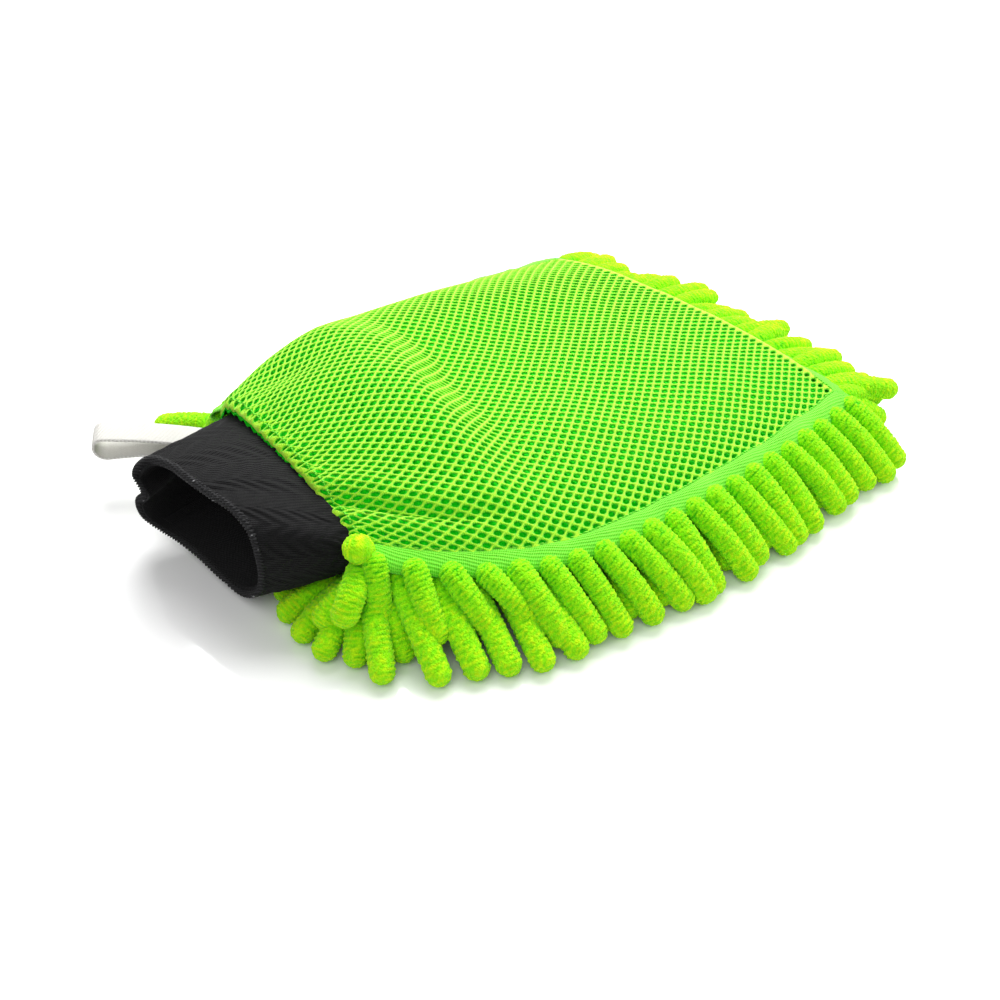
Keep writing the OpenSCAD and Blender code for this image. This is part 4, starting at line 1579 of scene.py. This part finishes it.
@dataclass
class Loop:
    """The folded webbing loop and its sewn root."""

    root: tuple[float, float, float] = (-5.0, 62.0, 22.5)
    turn: float = 36.0
    droop: float = -1.0
    length: float = 40.5
    width: float = 11.6
    eye: float = 4.6
    neck: float = 1.1
    wall: float = 1.0

    def axes(self) -> tuple[Vector, Vector, Vector]:
        """The loop's directions: along it, across its webbing, and up out of it."""
        a, d = math.radians(self.turn), math.radians(self.droop)
        along = Vector((-math.cos(a) * math.cos(d), math.sin(a) * math.cos(d), -math.sin(d)))
        across = Vector((math.sin(a), math.cos(a), 0))
        return along, across, along.cross(across) * (1 if along.cross(across).z > 0 else -1)

    def side_line(self, u: float) -> tuple[float, float]:
        """The loop's side view: distance along it and height, at u from 0 to 1."""
        lean = math.asin((self.eye - self.neck) / self.length)
        straight = self.length * math.cos(lean)
        arc = (math.pi + 2 * lean) * self.eye
        total = 2 * straight + arc
        s = u * total
        if s < straight:
            f = s / straight
            low = Vector((self.neck * math.sin(-lean), self.neck * math.cos(lean)))
            high = Vector((self.length - self.eye * math.sin(lean), self.eye * math.cos(lean)))
            p = low.lerp(high, f)
            return p.x, p.y + 0.9 * math.sin(math.pi * f)
        if s < straight + arc:
            a = math.pi / 2 + lean - (s - straight) / self.eye
            return self.length + self.eye * math.cos(a), self.eye * math.sin(a)
        f = (s - straight - arc) / straight
        high = Vector((self.length - self.eye * math.sin(lean), -self.eye * math.cos(lean)))
        low = Vector((self.neck * math.sin(-lean), -self.neck * math.cos(lean)))
        p = high.lerp(low, f)
        return p.x, p.y + 0.5 * math.sin(math.pi * f)

    def spot(self, u: float, v: float) -> Vector:
        """A point of the webbing.

        Args:
            u: Share of the way along the webbing.
            v: Share of the way across it.

        Returns:
            The point.
        """
        along, across, up = self.axes()
        x, z = self.side_line(u)
        w = (v - 0.5) * self.width
        skew = 0.14 * w * math.sin(math.pi * u)
        sag = 0.35 * (w / self.width * 2) ** 2
        return Vector(self.root) + along * (x + skew) + across * w + up * (z - sag)

    def tab_spot(self, u: float, v: float) -> Vector:
        """A point of the webbing's caught end."""
        along, across, up = self.axes()
        return Vector(self.root) + along * (-1.9 - 4.4 * u) + across * ((v - 0.5) * self.width) + up * 0.9

    def build(self) -> list[bpy.types.Object]:
        """Makes the loop and dresses its root.

        Returns:
            The pieces.
        """
        cream, white = (0.62, 0.60, 0.55), (0.88, 0.87, 0.83)
        bm = grid_sheet(150, 16, self.spot)
        bmesh.ops.recalc_face_normals(bm, faces=bm.faces[:])
        web = WeaveFinish("webbing_weave", (105, self.width), cream, white, 0.42, 0.00016, 0.75, 0.5)
        loop = to_object(bm, "webbing_loop", web.build(), self.wall, 0.0)
        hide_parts("hanging_loop")
        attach(loop, "loop")
        tab = grid_sheet(10, 12, self.tab_spot)
        face_upwards(tab)
        short = WeaveFinish("webbing_tab_weave", (4.4, self.width), cream, white, 0.42, 0.00016, 0.75, 0.5)
        end = to_object(tab, "webbing_tab", short.build(), 1.8)
        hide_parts("loop_tab")
        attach(end, "mitt")
        along, across, up = self.axes()
        stitches = []
        for k in range(7):
            mid = Vector(self.root) + along * -4.2 + across * ((k - 3) * 1.25) + up * 1.25
            a, b = mid - along * 1.0, mid + along * 1.0
            stitches.append(Finger(Bend(a, mid + up * 0.25, b), 0.3, k, 6, 6, 0.0, 0.0))
        thread = ThreadFinish("white_thread", (0.5, 0.5, 0.48), (0.85, 0.85, 0.82))
        tack = to_object(finger_mesh(stitches), "bar_tack_stitches", thread.build())
        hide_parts("loop_bar_tack")
        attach(tack, "mitt")
        return [loop, end, tack]


@dataclass
class NeckSeam:
    """Stitches over the gathered neck, and the tape inside it."""

    stitches: int = 34
    at_x: float = 3.4

    def build(self) -> list[bpy.types.Object]:
        """Makes the stitches and dresses the hidden tape.

        Returns:
            The pieces.
        """
        made = []
        half = 0.9 * (BODY.half(self.at_x) - BODY.panel_inset)
        for i in range(self.stitches):
            ends = []
            for f in (i + 0.15, i + 0.85):
                y = BODY.middle(self.at_x) + half * (2 * f / self.stitches - 1)
                ends.append(Vector((self.at_x, y, BODY.back(self.at_x, y) + 0.35)))
            made.append(Finger(Bend(ends[0], (ends[0] + ends[1]) / 2 + Vector((0, 0, 0.25)), ends[1]),
                               0.28, i, 6, 6, 0.0, 0.0))
        green = ThreadFinish("neck_thread_green", (0.05, 0.45, 0.01), (0.2, 0.8, 0.04))
        row = to_object(finger_mesh(made), "neck_stitches", green.build())
        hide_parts("neck_thread")
        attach(row, "mitt")
        tape = ThreadFinish("neck_tape_yarn", (0.003, 0.003, 0.003), (0.02, 0.02, 0.02)).build()
        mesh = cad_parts["neck_tape"].data
        mesh.materials.clear()
        mesh.materials.append(tape)
        return [row]


# ---------------------------------------------------------------- studio


@dataclass
class Studio:
    """Camera, lights and the table."""

    camera_at: tuple[float, float, float] = (-162.7, -338.1, 344.0)
    look: tuple[float, float, float] = (0.459, 0.608, -0.648)
    lens: float = 47.67

    def camera(self) -> None:
        """Makes the camera."""
        data = bpy.data.cameras.new("camera")
        data.lens, data.sensor_width, data.clip_start = self.lens, 36.0, 0.01
        made = bpy.data.objects.new("camera", data)
        made.location = BODY.place(Vector(self.camera_at))
        made.rotation_mode = "QUATERNION"
        made.rotation_quaternion = Vector(self.look).to_track_quat("-Z", "Y")
        bpy.context.scene.collection.objects.link(made)
        bpy.context.scene.camera = made

    def light(self, name: str, at: tuple[float, float, float], size: float, power: float) -> None:
        """Adds a square soft light that points at the mitt.

        Args:
            name: Its name.
            at: Its place.
            size: Its side.
            power: Its power in watts.
        """
        data = bpy.data.lights.new(name, "AREA")
        data.shape, data.size, data.energy = "SQUARE", size, power
        made = bpy.data.objects.new(name, data)
        made.location = at
        made.rotation_mode = "QUATERNION"
        made.rotation_quaternion = (Vector((0, 0, 0.02)) - Vector(at)).to_track_quat("-Z", "Y")
        bpy.context.scene.collection.objects.link(made)

    def build(self) -> None:
        """Makes the table, the lights and the surroundings."""
        bm = bmesh.new()
        bmesh.ops.create_grid(bm, x_segments=2, y_segments=2, size=3.0)
        table = bpy.data.meshes.new("table")
        bm.to_mesh(table)
        bm.free()
        table.materials.append(TableFinish().build())
        floor = bpy.data.objects.new("table", table)
        bpy.context.scene.collection.objects.link(floor)
        self.light("key", (0.34, 0.36, 0.66), 0.75, 13.5)
        self.light("fill", (-0.55, -0.35, 0.9), 0.7, 2.5)
        self.light("side", (0.8, -0.5, 0.5), 0.5, 3.5)
        world = bpy.data.worlds.new("studio")
        world.use_nodes = True
        back = world.node_tree.nodes["Background"]
        back.inputs["Color"].default_value = (1, 1, 1, 1)
        back.inputs["Strength"].default_value = 0.56
        bpy.context.scene.world = world
        bpy.context.scene.view_settings.view_transform = "Standard"


def main() -> None:
    """Builds the mitt, piece by piece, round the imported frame."""
    logging.basicConfig(level=logging.INFO, format="%(name)s %(message)s")
    BODY.measure()
    studio = Studio()
    studio.camera()
    for part in (Back(), Bands(), Sole(), Fringe(), Cuff(), Loop(), NeckSeam()):
        pieces = part.build()
        LOG.info("%s built %d pieces", type(part).__name__, len(pieces))
    studio.build()


if __name__ == "__main__":
    main()
